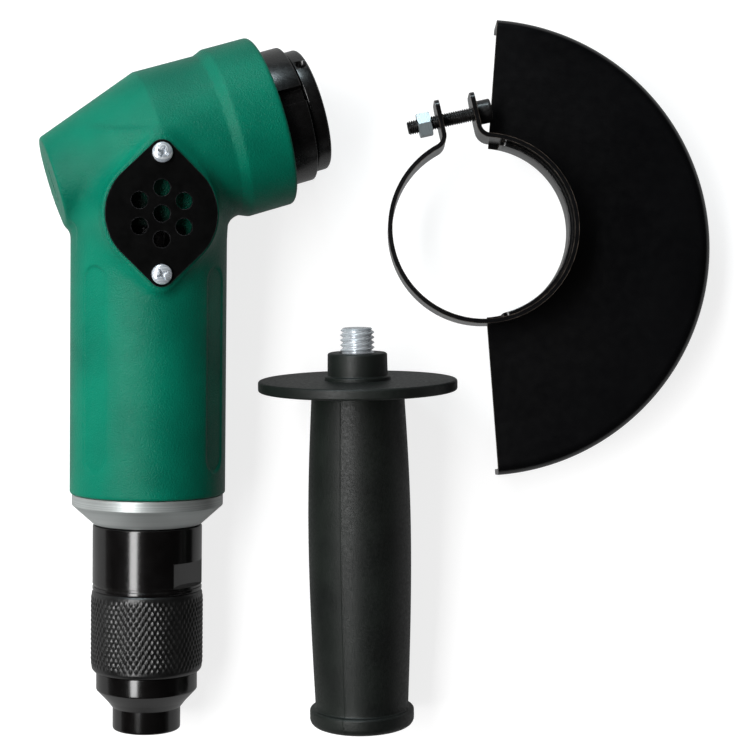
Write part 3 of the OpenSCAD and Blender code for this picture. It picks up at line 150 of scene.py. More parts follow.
def grid_faces(n, m, loop_n, loop_m):
    """The faces of an n by m grid of points, joined up round either direction or not."""
    i = np.arange(n if loop_n else n - 1)[:, None]
    j = np.arange(m if loop_m else m - 1)[None, :]
    a, b = i * m + j, ((i + 1) % n) * m + j
    c, d = ((i + 1) % n) * m + (j + 1) % m, i * m + (j + 1) % m
    return np.stack([a, b, c, d], -1).reshape(-1, 4).tolist()

def rounded(path, closed, steps):
    """Round the corners of a profile: each corner is (radius, height) or (radius, height, rounding)."""
    n, out = len(path), []
    for i, corner in enumerate(path):
        at, r = np.array(corner[:2], float), (corner[2] if len(corner) > 2 else 0)
        if r <= 0 or (not closed and i in (0, n - 1)):
            out.append(at)
            continue
        a = np.array(path[(i - 1) % n][:2], float) - at
        b = np.array(path[(i + 1) % n][:2], float) - at
        la, lb = np.linalg.norm(a), np.linalg.norm(b)
        a, b = a / la, b / lb
        half = math.acos(np.clip(a @ b, -1, 1)) / 2
        reach = min(r / math.tan(half), 0.49 * la, 0.49 * lb)
        r = reach * math.tan(half)
        mid = at + unit(a + b) * r / math.sin(half)
        p, q = at + a * reach - mid, at + b * reach - mid
        t0 = math.atan2(p[1], p[0])
        turn = (math.atan2(q[1], q[0]) - t0 + math.pi) % (2 * math.pi) - math.pi
        arc = [t0 + turn * k / steps for k in range(steps + 1)]
        out += [mid + r * np.array([math.cos(t), math.sin(t)]) for t in arc]
    return np.array(out)

def subdivide(profile, longest, closed=False):
    """Add points to the long straight runs of a profile."""
    ends = np.vstack([profile, profile[:1]]) if closed else profile
    out = []
    for p, q in zip(ends[:-1], ends[1:]):
        k = max(1, int(math.ceil(np.linalg.norm(q - p) / longest)))
        out += [p + (q - p) * t / k for t in range(k)]
    return np.array(out if closed else out + [ends[-1]])

def spun(r, z, segments):
    """A grid of points at radii r and heights z, turned round the z axis in equal steps."""
    t = np.linspace(0, 2 * math.pi, segments, endpoint=False)[:, None]
    return np.stack([r * np.cos(t), r * np.sin(t), z + 0 * t], -1)

def lathe(place, profile, segments, closed=False, shape=None):
    """Turn (radius, height) points about a place's z axis; shape may move the points."""
    p = spun(profile[:, 0], profile[:, 1], segments)
    if shape is not None:
        p = shape(p)
    return place.out(p.reshape(-1, 3)), grid_faces(segments, len(profile), True, closed)

def turned(name, place, path, body, stands_for=(), closed=True, segments=144, steps=6, longest=None,
           shape=None, smooth=40.0):
    """A turned piece in one call: round the profile's corners, turn it and make the object."""
    profile = rounded(path, closed, steps)
    if longest:
        profile = subdivide(profile, longest, closed)
    verts, faces = lathe(place, profile, segments, closed, shape)
    obj = piece(name, verts, faces, body, stands_for, smooth)
    print(name, len(obj.data.polygons), "faces")
    return obj

# %% [markdown]
# Notches, sockets and mould lines are all made on a turned piece by moving points in or out from its
# axis between two angles.  Three short functions do that for every piece that needs it.

# %% Moving points about an axis
def polar(p):
    """The angle in degrees and the distance of points about the z axis."""
    return np.degrees(np.arctan2(p[..., 1], p[..., 0])), np.hypot(p[..., 0], p[..., 1])

def arc_from(turn, t, radius):
    """How far round an arc the angles t lie from the angle turn."""
    return np.radians((t - turn + 180) % 360 - 180) * radius

def moved_out(p, here, old, new):
    """Move the points that are here from their old distance to a new one."""
    p[..., :2] *= np.where(here, new / np.maximum(old, 1e-6), 1)[..., None]
    return p

print("mesh kit ready")

# %% [markdown]
# Materials, the world and the floor are all node trees.  Typing each node and link makes long lists,
# so a small class holds a tree and adds nodes to it: a value that is fed to a node may be a number, a
# colour or the output of another node.

# %% Node kit
def srgb(text):
    """A colour written as #rrggbb, in the linear numbers that a socket takes."""
    c = [int(text[i:i + 2], 16) / 255 for i in (1, 3, 5)]
    return [v / 12.92 if v <= 0.04045 else ((v + 0.055) / 1.055) ** 2.4 for v in c] + [1.0]

class Wiring:
    """A node tree with short ways to add nodes that feed each other."""
    def __init__(self, tree):
        self.tree = tree
    def feed(self, socket, value):
        if isinstance(value, bpy.types.NodeSocket):
            self.tree.links.new(value, socket)
        else:
            socket.default_value = srgb(value) if isinstance(value, str) else value
    def node(self, kind, feeds=(), **props):
        """Add a node, set its properties, then feed its sockets by name or number."""
        made = self.tree.nodes.new(kind)
        for key, value in props.items():
            setattr(made, key, value)
        for key, value in feeds:
            self.feed(made.inputs[key], value)
        return made
    def maths(self, operation, *terms):
        return self.node("ShaderNodeMath", enumerate(terms), operation=operation).outputs[0]
    def vector(self, operation, *terms, result="Value"):
        return self.node("ShaderNodeVectorMath", enumerate(terms), operation=operation).outputs[result]
    def ramp(self, fac, low, high, start=0.3, end=0.7):
        """Run from low to high while a value runs from start to end."""
        feeds = (("Value", fac), ("From Min", start), ("From Max", end), ("To Min", low), ("To Max", high))
        return self.node("ShaderNodeMapRange", feeds).outputs["Result"]
    def between(self, fac, one, two):
        return self.node("ShaderNodeMix", ((0, fac), (2, one), (3, two))).outputs[0]
    def colour_between(self, fac, one, two):
        return self.node("ShaderNodeMix", ((0, fac), (6, one), (7, two)), data_type="RGBA").outputs[2]

print("node kit ready")

# %% [markdown]
# A finish is never one flat colour.  Each material here starts from its base colour, drifts a little
# over the piece, and gets its fine grain from noise that feeds the roughness and the bump.  Object
# coordinates are used, so the grain moves with the piece and keeps its real size in metres.

# %% Material kit
class Finish(Wiring):
    """A Principled material with a few short ways to add grain to it; the slot name is kept but not used.
    """
    def __init__(self, name, slot, **sockets):
        self.slot = slot
        self.mat = bpy.data.materials.new(name)
        self.mat.use_nodes = True
        super().__init__(self.mat.node_tree)
        self.shader = self.tree.nodes["Principled BSDF"]
        self.coords = self.node("ShaderNodeTexCoord").outputs["Object"]
        self.normal = None
        for key, value in sockets.items():
            self.shader.inputs[key.replace("_", " ")].default_value = value
    def noise(self, size_mm, detail=2.0, rough=0.5):
        feeds = (("Vector", self.coords), ("Scale", 1000.0 / size_mm), ("Detail", detail),
                 ("Roughness", rough))
        return self.node("ShaderNodeTexNoise", feeds).outputs["Fac"]
    def colours(self, fac, one, two, start=0.35, end=0.65):
        """Colour the surface between two colours, and give the mix back to be worked on."""
        mixed = self.colour_between(self.ramp(fac, 0, 1, start, end), one, two)
        self.feed(self.shader.inputs["Base Color"], mixed)
        return mixed
    def rough(self, fac, low, high):
        self.feed(self.shader.inputs["Roughness"], self.ramp(fac, low, high))
    def bump(self, fac, depth_mm, strength):
        """Raise the surface by a grain, over the grains that it already has."""
        feeds = [("Strength", strength), ("Distance", depth_mm / 1000), ("Height", fac)]
        if self.normal is not None:
            feeds.append(("Normal", self.normal))
        self.normal = self.node("ShaderNodeBump", feeds).outputs["Normal"]
        self.feed(self.shader.inputs["Normal"], self.normal)
    def from_middle(self, place):
        return self.vector("SUBTRACT", self.coords, tuple(place.o), result="Vector")
    def along(self, place):
        """Height along a place's axis and distance from it, in metres, for tool marks."""
        move, axis = self.from_middle(place), tuple(place.axes[2])
        off_axis = self.vector("CROSS_PRODUCT", move, axis, result="Vector")
        return self.vector("DOT_PRODUCT", move, axis), self.vector("LENGTH", off_axis)
    def tool_marks(self, place, spacing_mm):
        """Fine rings left by the lathe on a turned face, as a 0 to 1 value."""
        height_and_away = self.maths("ADD", *self.along(place))
        feeds = (("Scale", 1000.0 / spacing_mm), ("Detail", 3.0), ("W", height_and_away))
        return self.node("ShaderNodeTexNoise", feeds, noise_dimensions="1D").outputs["Fac"]
    def worn_and_highlit_edges(self, colour, wear_and_highlight, width_mm, amount):
        """Lighten the colour in patches where the surface turns a corner: partly rubbed wear, partly a
        painted highlight.
        """
        bevelled = self.node("ShaderNodeBevel", [("Radius", width_mm / 1000)], samples=4).outputs[0]
        plain = self.node("ShaderNodeNewGeometry").outputs["Normal"]
        corner = self.ramp(self.vector("DOT_PRODUCT", bevelled, plain), amount, 0, 0.90, 0.985)
        patches = self.ramp(self.noise(3.0, 4.0), 0.25, 1, 0.40, 0.62)
        # lighter corners: partly wear, partly painted highlight
        rubbed_and_highlit = self.maths("MULTIPLY", corner, patches)
        self.feed(self.shader.inputs["Base Color"], self.colour_between(rubbed_and_highlit, colour, wear_and_highlight))

def dress(finish, *objects):
    """Put a finish on the pieces made here, and on solids of the model that are named."""
    for obj in objects:
        made_here = not isinstance(obj, str)
        obj = obj if made_here else nodes[obj]
        obj.data.materials.clear()
        obj.data.materials.append(finish.mat)

print("material kit ready")

# %% [markdown]
# The camera looks down on the layout through a long lens, as for a catalogue picture.  It stands a
# little towards the inlet's end and is tipped by 2.4 degrees to look back at the layout's middle.  It
# is set first, because the light is judged through it.

# %% Camera
scene = bpy.context.scene
camera = bpy.data.objects.new("camera", bpy.data.cameras.new("camera"))
scene.collection.objects.link(camera)
LENS_MM, SENSOR_MM = 91.9, 36
SHOT_DISTANCE, SHOT_TILT = 0.668, math.radians(2.4)
AIM_X, AIM_Y, AIM_Z = -0.0017, -0.00176, 0.033
camera.location = (AIM_X, AIM_Y - SHOT_DISTANCE * math.sin(SHOT_TILT),
                   AIM_Z + SHOT_DISTANCE * math.cos(SHOT_TILT))
camera.rotation_euler = (SHOT_TILT, 0, 0)
camera.data.sensor_width = SENSOR_MM
camera.data.lens = LENS_MM
camera.data.clip_start = 0.01
scene.camera = camera
scene.view_settings.view_transform = "Standard"
print("camera", round(camera.location.z, 4), "m up")

# %% [markdown]
# The light is soft and comes mainly from the left.  The wide key lamp lights the forms and isn't
# mirrored, so that the black steel stays black.  The strip, nearer and higher, is mirrored: it gives
# turned parts their one long streak.  A cool lamp beyond the head fills the shadows.

# %% Lamps
LIT_POINT = Vector((0, 0.01, 0.03))

def lamp(name, at, size, power, tint=(1, 1, 1), mirrored=True):
    """A rectangular lamp turned to the layout: its first side lies level."""
    light = bpy.data.lights.new(name, "AREA")
    light.shape, light.size, light.size_y = "RECTANGLE", size[0], size[1]
    light.energy, light.color = power, tint
    obj = bpy.data.objects.new(name, light)
    obj.location = at
    obj.rotation_euler = (LIT_POINT - Vector(at)).to_track_quat("-Z", "Y").to_euler()
    obj.visible_glossy = mirrored
    scene.collection.objects.link(obj)

lamp("key_left", (-0.90, 0.05, 0.62), (0.9, 0.4), 11.0, (1.0, 1.0, 0.99), False)
lamp("strip_left", (-0.33, 0.04, 0.70), (0.9, 0.20), 5.0)
lamp("fill_top", (-0.30, 1.00, 0.55), (0.4, 0.2), 5.5, (0.80, 0.94, 1.0))
print("three lamps")

# %% [markdown]
# The room is white to the camera, and a soft grey where it lights the objects from all round.  Glossy
# parts mirror something darker: dim walls near the floor, and a nearly black ceiling.  Light Path's
# outputs tell these rays apart, so one world can be all three.

# %% Room
ROOM_LIGHT, WALL_GLEAM, CEILING_GLEAM, CEILING_FROM = 0.25, 0.14, 0.012, 0.25

def seen_straight(wiring, rays):
    """1 for what the camera sees by itself or through something clear, and else 0."""
    return wiring.maths("MAXIMUM", rays["Is Camera Ray"], rays["Is Transmission Ray"])

world = bpy.data.worlds.new("studio")
scene.world = world
world.use_nodes = True
room = Wiring(world.node_tree)
room.tree.nodes.clear()
room_rays = room.node("ShaderNodeLightPath").outputs
direction = room.node("ShaderNodeTexCoord").outputs["Generated"]
height = room.node("ShaderNodeSeparateXYZ", [(0, direction)]).outputs["Z"]
mirrored = room.ramp(height, WALL_GLEAM, CEILING_GLEAM, 0.0, CEILING_FROM)
unseen = room.between(room_rays["Is Glossy Ray"], ROOM_LIGHT, mirrored)
level = room.between(seen_straight(room, room_rays), unseen, 1.0)
back = room.node("ShaderNodeBackground", [("Strength", level)])
room.node("ShaderNodeOutputWorld", [(0, back.outputs[0])])
print("room:", len(room.tree.nodes), "nodes")

# %% [markdown]
# White paper lies under the objects.  Paper that bounced all its light would wash out their dark
# undersides, so it is grey to the light, and in a reflection it is darker, with a small even glow.
# The camera sees it lifted by emission to a white that runs into the room's white further out, and
# the objects' shadows stay.

# %% Paper floor
FLOOR_HALF, FLOOR_DROP = 3, 0.0002
PAPER_TONE, MIRRORED_DROP, MIRRORED_GLEAM = 0.34, 0.22, 0.24
NEAR_LIFT, FAR_LIFT, NEAR, FAR = 0.79, 1.0, 0.30, 0.90

corners = [(x * FLOOR_HALF, y * FLOOR_HALF, 0) for x, y in ((-1, -1), (1, -1), (1, 1), (-1, 1))]
floor_mesh = bpy.data.meshes.new("floor")
floor_mesh.from_pydata(corners, [], [(0, 1, 2, 3)])
floor = bpy.data.objects.new("floor", floor_mesh)
floor.location.z = -FLOOR_DROP
scene.collection.objects.link(floor)
paper = bpy.data.materials.new("white_paper")
paper.use_nodes = True
sheet = Wiring(paper.node_tree)
sheet_rays = sheet.node("ShaderNodeLightPath").outputs
from_layout = sheet.vector("LENGTH", sheet.node("ShaderNodeTexCoord").outputs["Object"])
lift = sheet.ramp(from_layout, NEAR_LIFT, FAR_LIFT, NEAR, FAR)
gleam = sheet.maths("MULTIPLY", sheet_rays["Is Glossy Ray"], MIRRORED_GLEAM)
tone = sheet.maths("MULTIPLY_ADD", sheet_rays["Is Glossy Ray"], -MIRRORED_DROP, PAPER_TONE)
glow = sheet.maths("MULTIPLY_ADD", seen_straight(sheet, sheet_rays), lift, gleam)
for key, value in (("Roughness", 0.95), ("Specular IOR Level", 0.0), ("Base Color", tone),
                   ("Emission Color", (1, 1, 1, 1)), ("Emission Strength", glow)):
    sheet.feed(sheet.tree.nodes["Principled BSDF"].inputs[key], value)
floor_mesh.materials.append(paper)
print("paper:", 2 * FLOOR_HALF, "m square")

# %% [markdown]
# The gear housing is one aluminium casting.  Its head is a turned form about the spindle, its handle
# a plain tube, and both run into each other and into the exhaust pad with the soft corners that a
# casting needs.  Booleans would leave those corners sharp.  So the form is described as a distance to
# its surface: distances can be joined with a rounded corner, and cut with the rooms inside.  A mesh is
# then drawn where the distance is zero, and every point is moved exactly on to it.

# %% Distances to simple forms
def polygon_distance(x, y, corners):
    """Signed distance from points to a polygon, negative inside."""
    c = np.asarray(corners, float)
    best = np.full(x.shape, 1e9)
    sign = np.ones(x.shape)
    for i in range(len(c)):
        a, b = c[i], c[i - 1]
        ex, ey = b[0] - a[0], b[1] - a[1]
        wx, wy = x - a[0], y - a[1]
        t = np.clip((wx * ex + wy * ey) / (ex * ex + ey * ey), 0, 1)
        best = np.minimum(best, (wx - ex * t) ** 2 + (wy - ey * t) ** 2)
        up, down, left = y >= a[1], y < b[1], ex * wy > ey * wx
        flip = (up & down & left) | (~up & ~down & ~left)
        sign = np.where(flip, -sign, sign)
    return sign * np.sqrt(best)

def soft_join(a, b, k):
    """Two forms as one, with a fillet of about k between them."""
    h = np.maximum(k - np.abs(a - b), 0) / k
    return np.minimum(a, b) - h * h * k * 0.25

def soft_cut(a, b, k):
    """a with b taken out, leaving an edge rounded by about k."""
    return -soft_join(-a, b, k)

def inside_both(a, b, edge=0.0):
    """What lies inside two forms at once, with the edge between them rounded."""
    a, b = a + edge, b + edge
    return np.minimum(np.maximum(a, b), 0) + np.hypot(np.maximum(a, 0), np.maximum(b, 0)) - edge

def drum(r, z, radius, low, high, edge=0.0):
    """A round bar between two heights."""
    return inside_both(r - radius, np.maximum(low - z, z - high), edge)

def about(q, place):
    """Distance of the tool's points from a place's axis, and their height along it."""
    local = place.into(TOOL.out(q))
    return np.hypot(local[..., 0], local[..., 1]), local[..., 2]

print("distance kit ready")

# %% [markdown]
# The casting's outside is four forms: the head, a cone and a drum with a raised rim; the socket boss
# for the side handle; the pad that carries the exhaust cover; and the body tube with its two long
# shallow recesses.  Each is written on its own axis.

# %% The casting's outer forms
PAST_AXIS = -9
HEAD_REAR, HEAD_FRONT, HEAD_EDGE = -35.0, 44.0, 1.2
SOCKET_AT, SOCKET_FROM, SOCKET_FOOT, SOCKET_H = 4.0, 15, 22.7, 35.6
SOCKET_FOOT_R, SOCKET_END_R = 14.0, 11.0
PAD_FROM, PAD_EDGE, PAD_RIM, FLARE_FROM, FLARE = 12, 0.7, 1.0, 1.5, 0.16
BODY_FROM, BODY_EDGE = -6.0, 0.8
RECESS_TURN, RECESS_AT, RECESS_HALF, RECESS_R, RECESS_DEEP = math.radians(50.5), 74.0, 30.3, 4.7, 0.7
SOCKET = Place(SPINDLE.out([0, 0, SOCKET_AT]), -SPINDLE.axes[2], SPINDLE.axes[1], SPINDLE.axes[0])

def head(r, h):
    """The head: its cone, its drum and the raised rim at its front."""
    e = HEAD_EDGE
    outline = [(PAST_AXIS, HEAD_REAR + e), (16.0 - e, HEAD_REAR + e), (28.8 - e, 2.4), (28.7 - e, 24.4),
               (30.1 - e, 27.8), (30.1 - e, HEAD_FRONT - e), (PAST_AXIS, HEAD_FRONT - e)]
    return polygon_distance(r, h, outline) - e

def socket_boss(r, h):
    """The boss round the handle's socket, narrowing to its end."""
    taper = (SOCKET_END_R - SOCKET_FOOT_R) / (SOCKET_H - SOCKET_FOOT)
    across_to_square = 0.97
    side = (r - (SOCKET_FOOT_R + taper * (h - SOCKET_FOOT))) * across_to_square
    return np.maximum(side, np.maximum(h - SOCKET_H, SOCKET_FROM - h))

def cover_outline(x, y, grow):
    """Distance to the cover's outline: a round middle running out to two small ends."""
    ay = np.abs(y)
    slope = (COVER_R - COVER_END_R) / COVER_HALF
    lean = math.sqrt(1 - slope * slope)
    k = lean * ay - slope * np.abs(x)
    side = np.abs(x) * lean + ay * slope - COVER_R
    end = np.hypot(x, ay - COVER_HALF) - COVER_END_R
    return np.where(k < 0, np.hypot(x, ay) - COVER_R, np.where(k > lean * COVER_HALF, end, side)) - grow

def exhaust_pad(x, y, z):
    """The pad under the cover, flaring into the body at its foot."""
    flare = np.clip((PAD_TOP - FLARE_FROM - z) * FLARE, 0, 3) ** 1.5
    pad = inside_both(cover_outline(x, y, PAD_RIM) - flare, z - PAD_TOP, PAD_EDGE)
    return np.maximum(pad, PAD_FROM - z)

def recess(x, z, h):
    """A long recess: a round-ended slot let into the tube from one side."""
    out = x * math.sin(RECESS_TURN) + z * math.cos(RECESS_TURN)
    off = x * math.cos(RECESS_TURN) - z * math.sin(RECESS_TURN)
    past_end = np.maximum(np.abs(h - RECESS_AT) - RECESS_HALF, 0)
    return np.maximum(np.hypot(off, past_end) - RECESS_R, BODY_R - RECESS_DEEP - out)

print("casting's outside described")

# %% [markdown]
# The casting's rooms hold the bearings, the bevel gears and the motor.  Most are plain bores on the
# spindle's or the motor's axis.  A bore runs on past the face that it opens through, so that the cut
# leaves no skin there.

# %% The casting's rooms and the whole casting
GEAR_ROOM = [(PAST_AXIS, -20.5), (9.5, -20.5), (9.5, -15), (20, -5), (24, 1), (24, 26.8), (PAST_AXIS, 26.8)]
HEAD_BORES = [(22.5, 26, 50), (11.02, -27, -20), (6.5, -40, -26)]
BODY_BORES = [(22.5, 20.7, 130), (13.6, 0, 22)]
POCKET_R, POCKET_FLOOR, PORT_HALF, PORT_FROM = COVER_R - 4.5, 25.6, 9, 4.3
SCREW_HOLE_R, SCREW_HOLE_FLOOR, SOCKET_BORE_R, SOCKET_BORE_LEN = 1.77, 24.8, 5.1, 10.4
OUTSIDE, PAST_SOCKET = 40, 60
BODY_FILLET, SOCKET_FILLET, PAD_FILLET, RECESS_FILLET = 4.5, 4.0, 5.0, 0.9

def exhaust_port(x, y, z):
    """The round pocket under the cover, and the port down from it to the motor."""
    r = np.hypot(x, y)
    walls = [np.abs(x) - PORT_HALF, y + PORT_FROM, -COVER_R - y, r - POCKET_R + 0.5, -z,
             z - (POCKET_FLOOR + 1)]
    return np.minimum(drum(r, z, POCKET_R, POCKET_FLOOR, OUTSIDE), np.maximum.reduce(walls))

def casting(q):
    """Distance in millimetres from points of the tool's frame to the casting."""
    x, y, z = q[..., 0], q[..., 1], q[..., 2]
    head_r, head_h = about(q, SPINDLE)
    socket_r, socket_h = about(q, SOCKET)
    body_r, body_h, cover_y = np.hypot(x, z), -y, y + COVER_AT

    body = drum(body_r, body_h, BODY_R, BODY_FROM, BODY_LEN, BODY_EDGE)
    form = soft_join(head(head_r, head_h), body, BODY_FILLET)
    form = soft_join(form, socket_boss(socket_r, socket_h), SOCKET_FILLET)
    form = soft_join(form, exhaust_pad(x, cover_y, z), PAD_FILLET)
    for side in (-1, 1):
        form = soft_cut(form, recess(side * x, z, body_h), RECESS_FILLET)

    rooms = [polygon_distance(head_r, head_h, GEAR_ROOM), exhaust_port(x, cover_y, z),
             drum(socket_r, socket_h, SOCKET_BORE_R, SOCKET_H - SOCKET_BORE_LEN, PAST_SOCKET)]
    rooms += [drum(head_r, head_h, *bore) for bore in HEAD_BORES]
    rooms += [drum(body_r, body_h, *bore) for bore in BODY_BORES]
    rooms += [drum(np.hypot(x, cover_y - s * COVER_HALF), z, SCREW_HOLE_R, SCREW_HOLE_FLOOR, OUTSIDE)
              for s in (-1, 1)]
    return np.maximum(form, -np.minimum.reduce(rooms))

print("casting described:", len(HEAD_BORES), "bores on the spindle and", len(BODY_BORES), "on the motor")

# %% [markdown]
# The surface is found on a grid: wherever the distance changes sign along a grid edge, the four cells
# around that edge get a face, and each cell has one point.  The points then slide along the distance's
# slope until they lie on the form, so the grid leaves no steps.

# %% Mesh where the distance is zero
SLAB, PROBE, SLIDES, FARTHEST_SLIDE = 16, 0.02, 3, 0.4

def surface(distance, low, high, step):
    """Points and faces where a distance is zero, in a box cut into cells of one step."""
    axes = [np.arange(l, h + step, step) for l, h in zip(low, high)]
    shape = tuple(len(a) for a in axes)
    value = np.empty(shape, np.float32)
    for i in range(0, shape[0], SLAB):
        block = np.stack(np.meshgrid(axes[0][i:i + SLAB], axes[1], axes[2], indexing="ij"), -1)
        value[i:i + SLAB] = distance(block)
    inside = value < 0
    total = np.zeros(tuple(s - 1 for s in shape) + (3,), np.float32)
    count = np.zeros(tuple(s - 1 for s in shape), np.int16)
    quads = []
    for k in range(3):
        u, v = [a for a in range(3) if a != k]
        lo, hi = [slice(None)] * 3, [slice(None)] * 3
        lo[k], hi[k] = slice(0, -1), slice(1, None)
        a, b = value[tuple(lo)], value[tuple(hi)]
        crossed = np.argwhere(inside[tuple(lo)] != inside[tuple(hi)])
        crossed = crossed[(crossed[:, u] > 0) & (crossed[:, v] > 0)
                          & (crossed[:, u] < shape[u] - 1) & (crossed[:, v] < shape[v] - 1)]
        i = tuple(crossed.T)
        point = crossed.astype(np.float32)
        point[:, k] += a[i] / (a[i] - b[i])
        cells = []
        for du, dv in ((0, 0), (1, 0), (1, 1), (0, 1)):
            cell = crossed.copy()
            cell[:, u] -= du
            cell[:, v] -= dv
            np.add.at(total, tuple(cell.T), point)
            np.add.at(count, tuple(cell.T), 1)
            cells.append(cell)
        quads.append(np.stack(cells, 1))
    quads = np.concatenate(quads)
    used = np.argwhere(count > 0)
    number = np.full(count.shape, -1, np.int32)
    number[tuple(used.T)] = np.arange(len(used))
    verts = total[tuple(used.T)] / count[tuple(used.T)][:, None]
    verts = np.array(low) + verts * step
    faces = number[tuple(np.moveaxis(quads, -1, 0))]
    for _ in range(SLIDES):
        d = distance(verts)
        rises = [distance(verts + e) - distance(verts - e) for e in np.eye(3) * PROBE]
        slope = np.stack(rises, -1) / (2 * PROBE)
        steep = np.maximum((slope ** 2).sum(-1), 0.2)
        far = FARTHEST_SLIDE * step
        verts = verts - np.clip(d / steep, -far, far)[:, None] * slope
    return verts, faces

CASTING_LOW, CASTING_HIGH = (-43, -121, -42), (56, 50, 33)
cell_mm = 0.62
verts, faces = surface(casting, CASTING_LOW, CASTING_HIGH, cell_mm)
housing = piece("housing_casting", TOOL.out(verts), faces, "tool", ["gear_housing"], smooth=50)
print("casting:", len(housing.data.vertices), "points")

# %% [markdown]
# The casting is painted with a tough green enamel that dries to a fine orange peel.  Under a soft
# light its low sheen breaks into tiny specks, so the bump matters more than the colour.  Two sizes of
# noise raise it, grain of half a millimetre over a broader peel, and a third lets the colour drift.
# The paint in the port under the cover is darkened to near black as painted shade; three ramps keep that
# painted shade to the port.

# %% Green enamel
def port_painted_shade(finish):
    """How much painted shade darkens the paint: only in the port under the cover, most towards the inlet.
    """
    port = TOOL.shifted(0, -COVER_AT, PAD_TOP)
    depth, away = finish.along(port)
    up_and_across = tuple(0.75 * port.axes[1] + 0.65 * port.axes[0])
    towards = finish.vector("DOT_PRODUCT", finish.from_middle(port), up_and_across)
    painted_shade = finish.ramp(towards, 1.0, 0.5, -0.0005, 0.0045)
    for fac, start, end in ((depth, -0.0015, -0.0035), (away, 0.0165, 0.0150)):
        painted_shade = finish.maths("MULTIPLY", painted_shade, finish.ramp(fac, 0, 1, start, end))
    return painted_shade

enamel = Finish("green_enamel", "casting_paint", Specular_IOR_Level=0.15)
paint = enamel.colours(enamel.noise(24.0), "#005a47", "#006650")
# painted shade: near-black mixed into the paint in the port under the cover
enamel.colours(port_painted_shade(enamel), paint, "#020403", 0, 1)
grain = enamel.noise(0.55, rough=0.6)
enamel.rough(grain, 0.28, 0.40)
enamel.bump(enamel.noise(1.5), 0.05, 0.6)
enamel.bump(grain, 0.24, 1.0)
dress(enamel, housing, "rear_plug")
print("enamel:", len(enamel.tree.nodes), "nodes")

# %% [markdown]
# The throttle body, sleeve, inlet bush, bearing cap, flange and cover are black-oxide steel.  It is a
# thin dark skin with an oily sheen, and the lathe's rings still show through it.  The edges are lighter
# in patches: partly rubbed wear, partly a painted highlight.  The oiled parts about the motor are the
# glossiest, the flat cover the dullest.

# %% Black steel
def black_steel(name, place, low=0.15, high=0.18, colour=("#060505", "#0a0909"), wear_and_highlight="#3c3a39", shine=0.8):
    made = Finish(name, "black_steel", Specular_IOR_Level=shine)
    tint = made.colours(made.noise(5.0, 3.0), *colour)
    # lighter edges: partly wear, partly painted highlight
    made.worn_and_highlit_edges(tint, wear_and_highlight, 0.35, 0.6)
    made.rough(made.noise(1.6, 3.0), low, high)
    made.bump(made.tool_marks(place, 0.3), 0.002, 0.5)
    return made

motor_black = black_steel("black_oxide_motor", MOTOR)
spindle_black = black_steel("black_oxide_spindle", SPINDLE, 0.24, 0.30)
cover_black = black_steel("black_oxide_cover", TOOL, 0.30, 0.38, ("#040404", "#070707"), "#4c4c4f", 0.15)
screw_black = black_steel("black_oxide_screw", SCREW, 0.25, 0.4)
dress(cover_black, "exhaust_cover")
dress(spindle_black, "front_end_plate", "rear_end_plate", "gear_circlip", "pinion_screw")
print("black finishes ready")

# %% [markdown]
# Bright parts keep their lathe marks.  The lock ring is plain aluminium, turned and left bare; the
# stud, the nut and the cover's screws are zinc-plated; the hidden shafts, gears and bearings are
# ground steel.  The aluminium and the zinc are set only partly metallic: a full mirror would show
# little but the dark room.

# %% Bright metals
STEEL = ("#9a9da1", "#c0c3c6")

def bright(name, slot, place, one, two, low=0.2, high=0.36, spacing=0.22, depth=0.004, metal=1.0):
    made = Finish(name, slot, Metallic=metal)
    marks = made.tool_marks(place, spacing)
    made.colours(marks, one, two, 0.3, 0.7)
    made.rough(marks, low, high)
    made.bump(marks, depth, 0.8)
    made.bump(made.noise(0.8), 0.003, 0.3)
    return made

ring_aluminium = bright("turned_aluminium", "bare_aluminium", MOTOR, "#a2a7a6", "#bfc3c2", 0.34, 0.46,
                        spacing=0.35, depth=0.008, metal=0.65)
ground_motor = bright("ground_steel_motor", "bright_steel", MOTOR, *STEEL)
ground_spindle = bright("ground_steel_spindle", "bright_steel", SPINDLE, *STEEL)
bronze = bright("machined_bronze", "bronze", MOTOR, "#8a6a35", "#a98548", 0.3, 0.45)
zinc_handle = bright("zinc_stud", "zinc_steel", HANDLE, "#c3c9cf", "#e2e6e9", 0.2, 0.32, metal=0.6)
zinc_cover = bright("zinc_cover_screw", "zinc_steel", TOOL, "#bcc5cf", "#e8edf1", 0.2, 0.3,
                    spacing=0.5, depth=0.002, metal=0.55)
zinc_nut = bright("zinc_nut", "zinc_steel", SCREW, "#8c979b", "#b4bec2", 0.25, 0.4, metal=0.6)
dress(ground_motor, "rotor_bearings", "preload_washer", "motor_cylinder", "valve_spring", "rotor",
      "bevel_pinion", "pinion_key", "rotor_races", "throttle_valve", "drive_pin")
dress(ground_spindle, "front_bearing", "rear_bearing", "spindle", "spindle_races", "bevel_gear",
      "gear_key")
dress(bronze, "inlet_strainer")
dress(zinc_nut, "clamp_nut")
print("bright finishes ready")

# %% [markdown]
# The seals are black rubber, the gasket under the cover is oiled paper, and the motor's vanes are
# brown cloth laminate.  All three are dull and fine-grained, so one function makes them: only the
# colours, the size of the grain and the roughness differ.

# %% Rubber, gasket paper and vane laminate
def plain_grain(name, slot, one, two, size, low, high):
    made = Finish(name, slot)
    grain = made.noise(size, 4.0, 0.6)
    made.colours(grain, one, two)
    made.rough(grain, low, high)
    made.bump(grain, 0.02, 0.7)
    return made

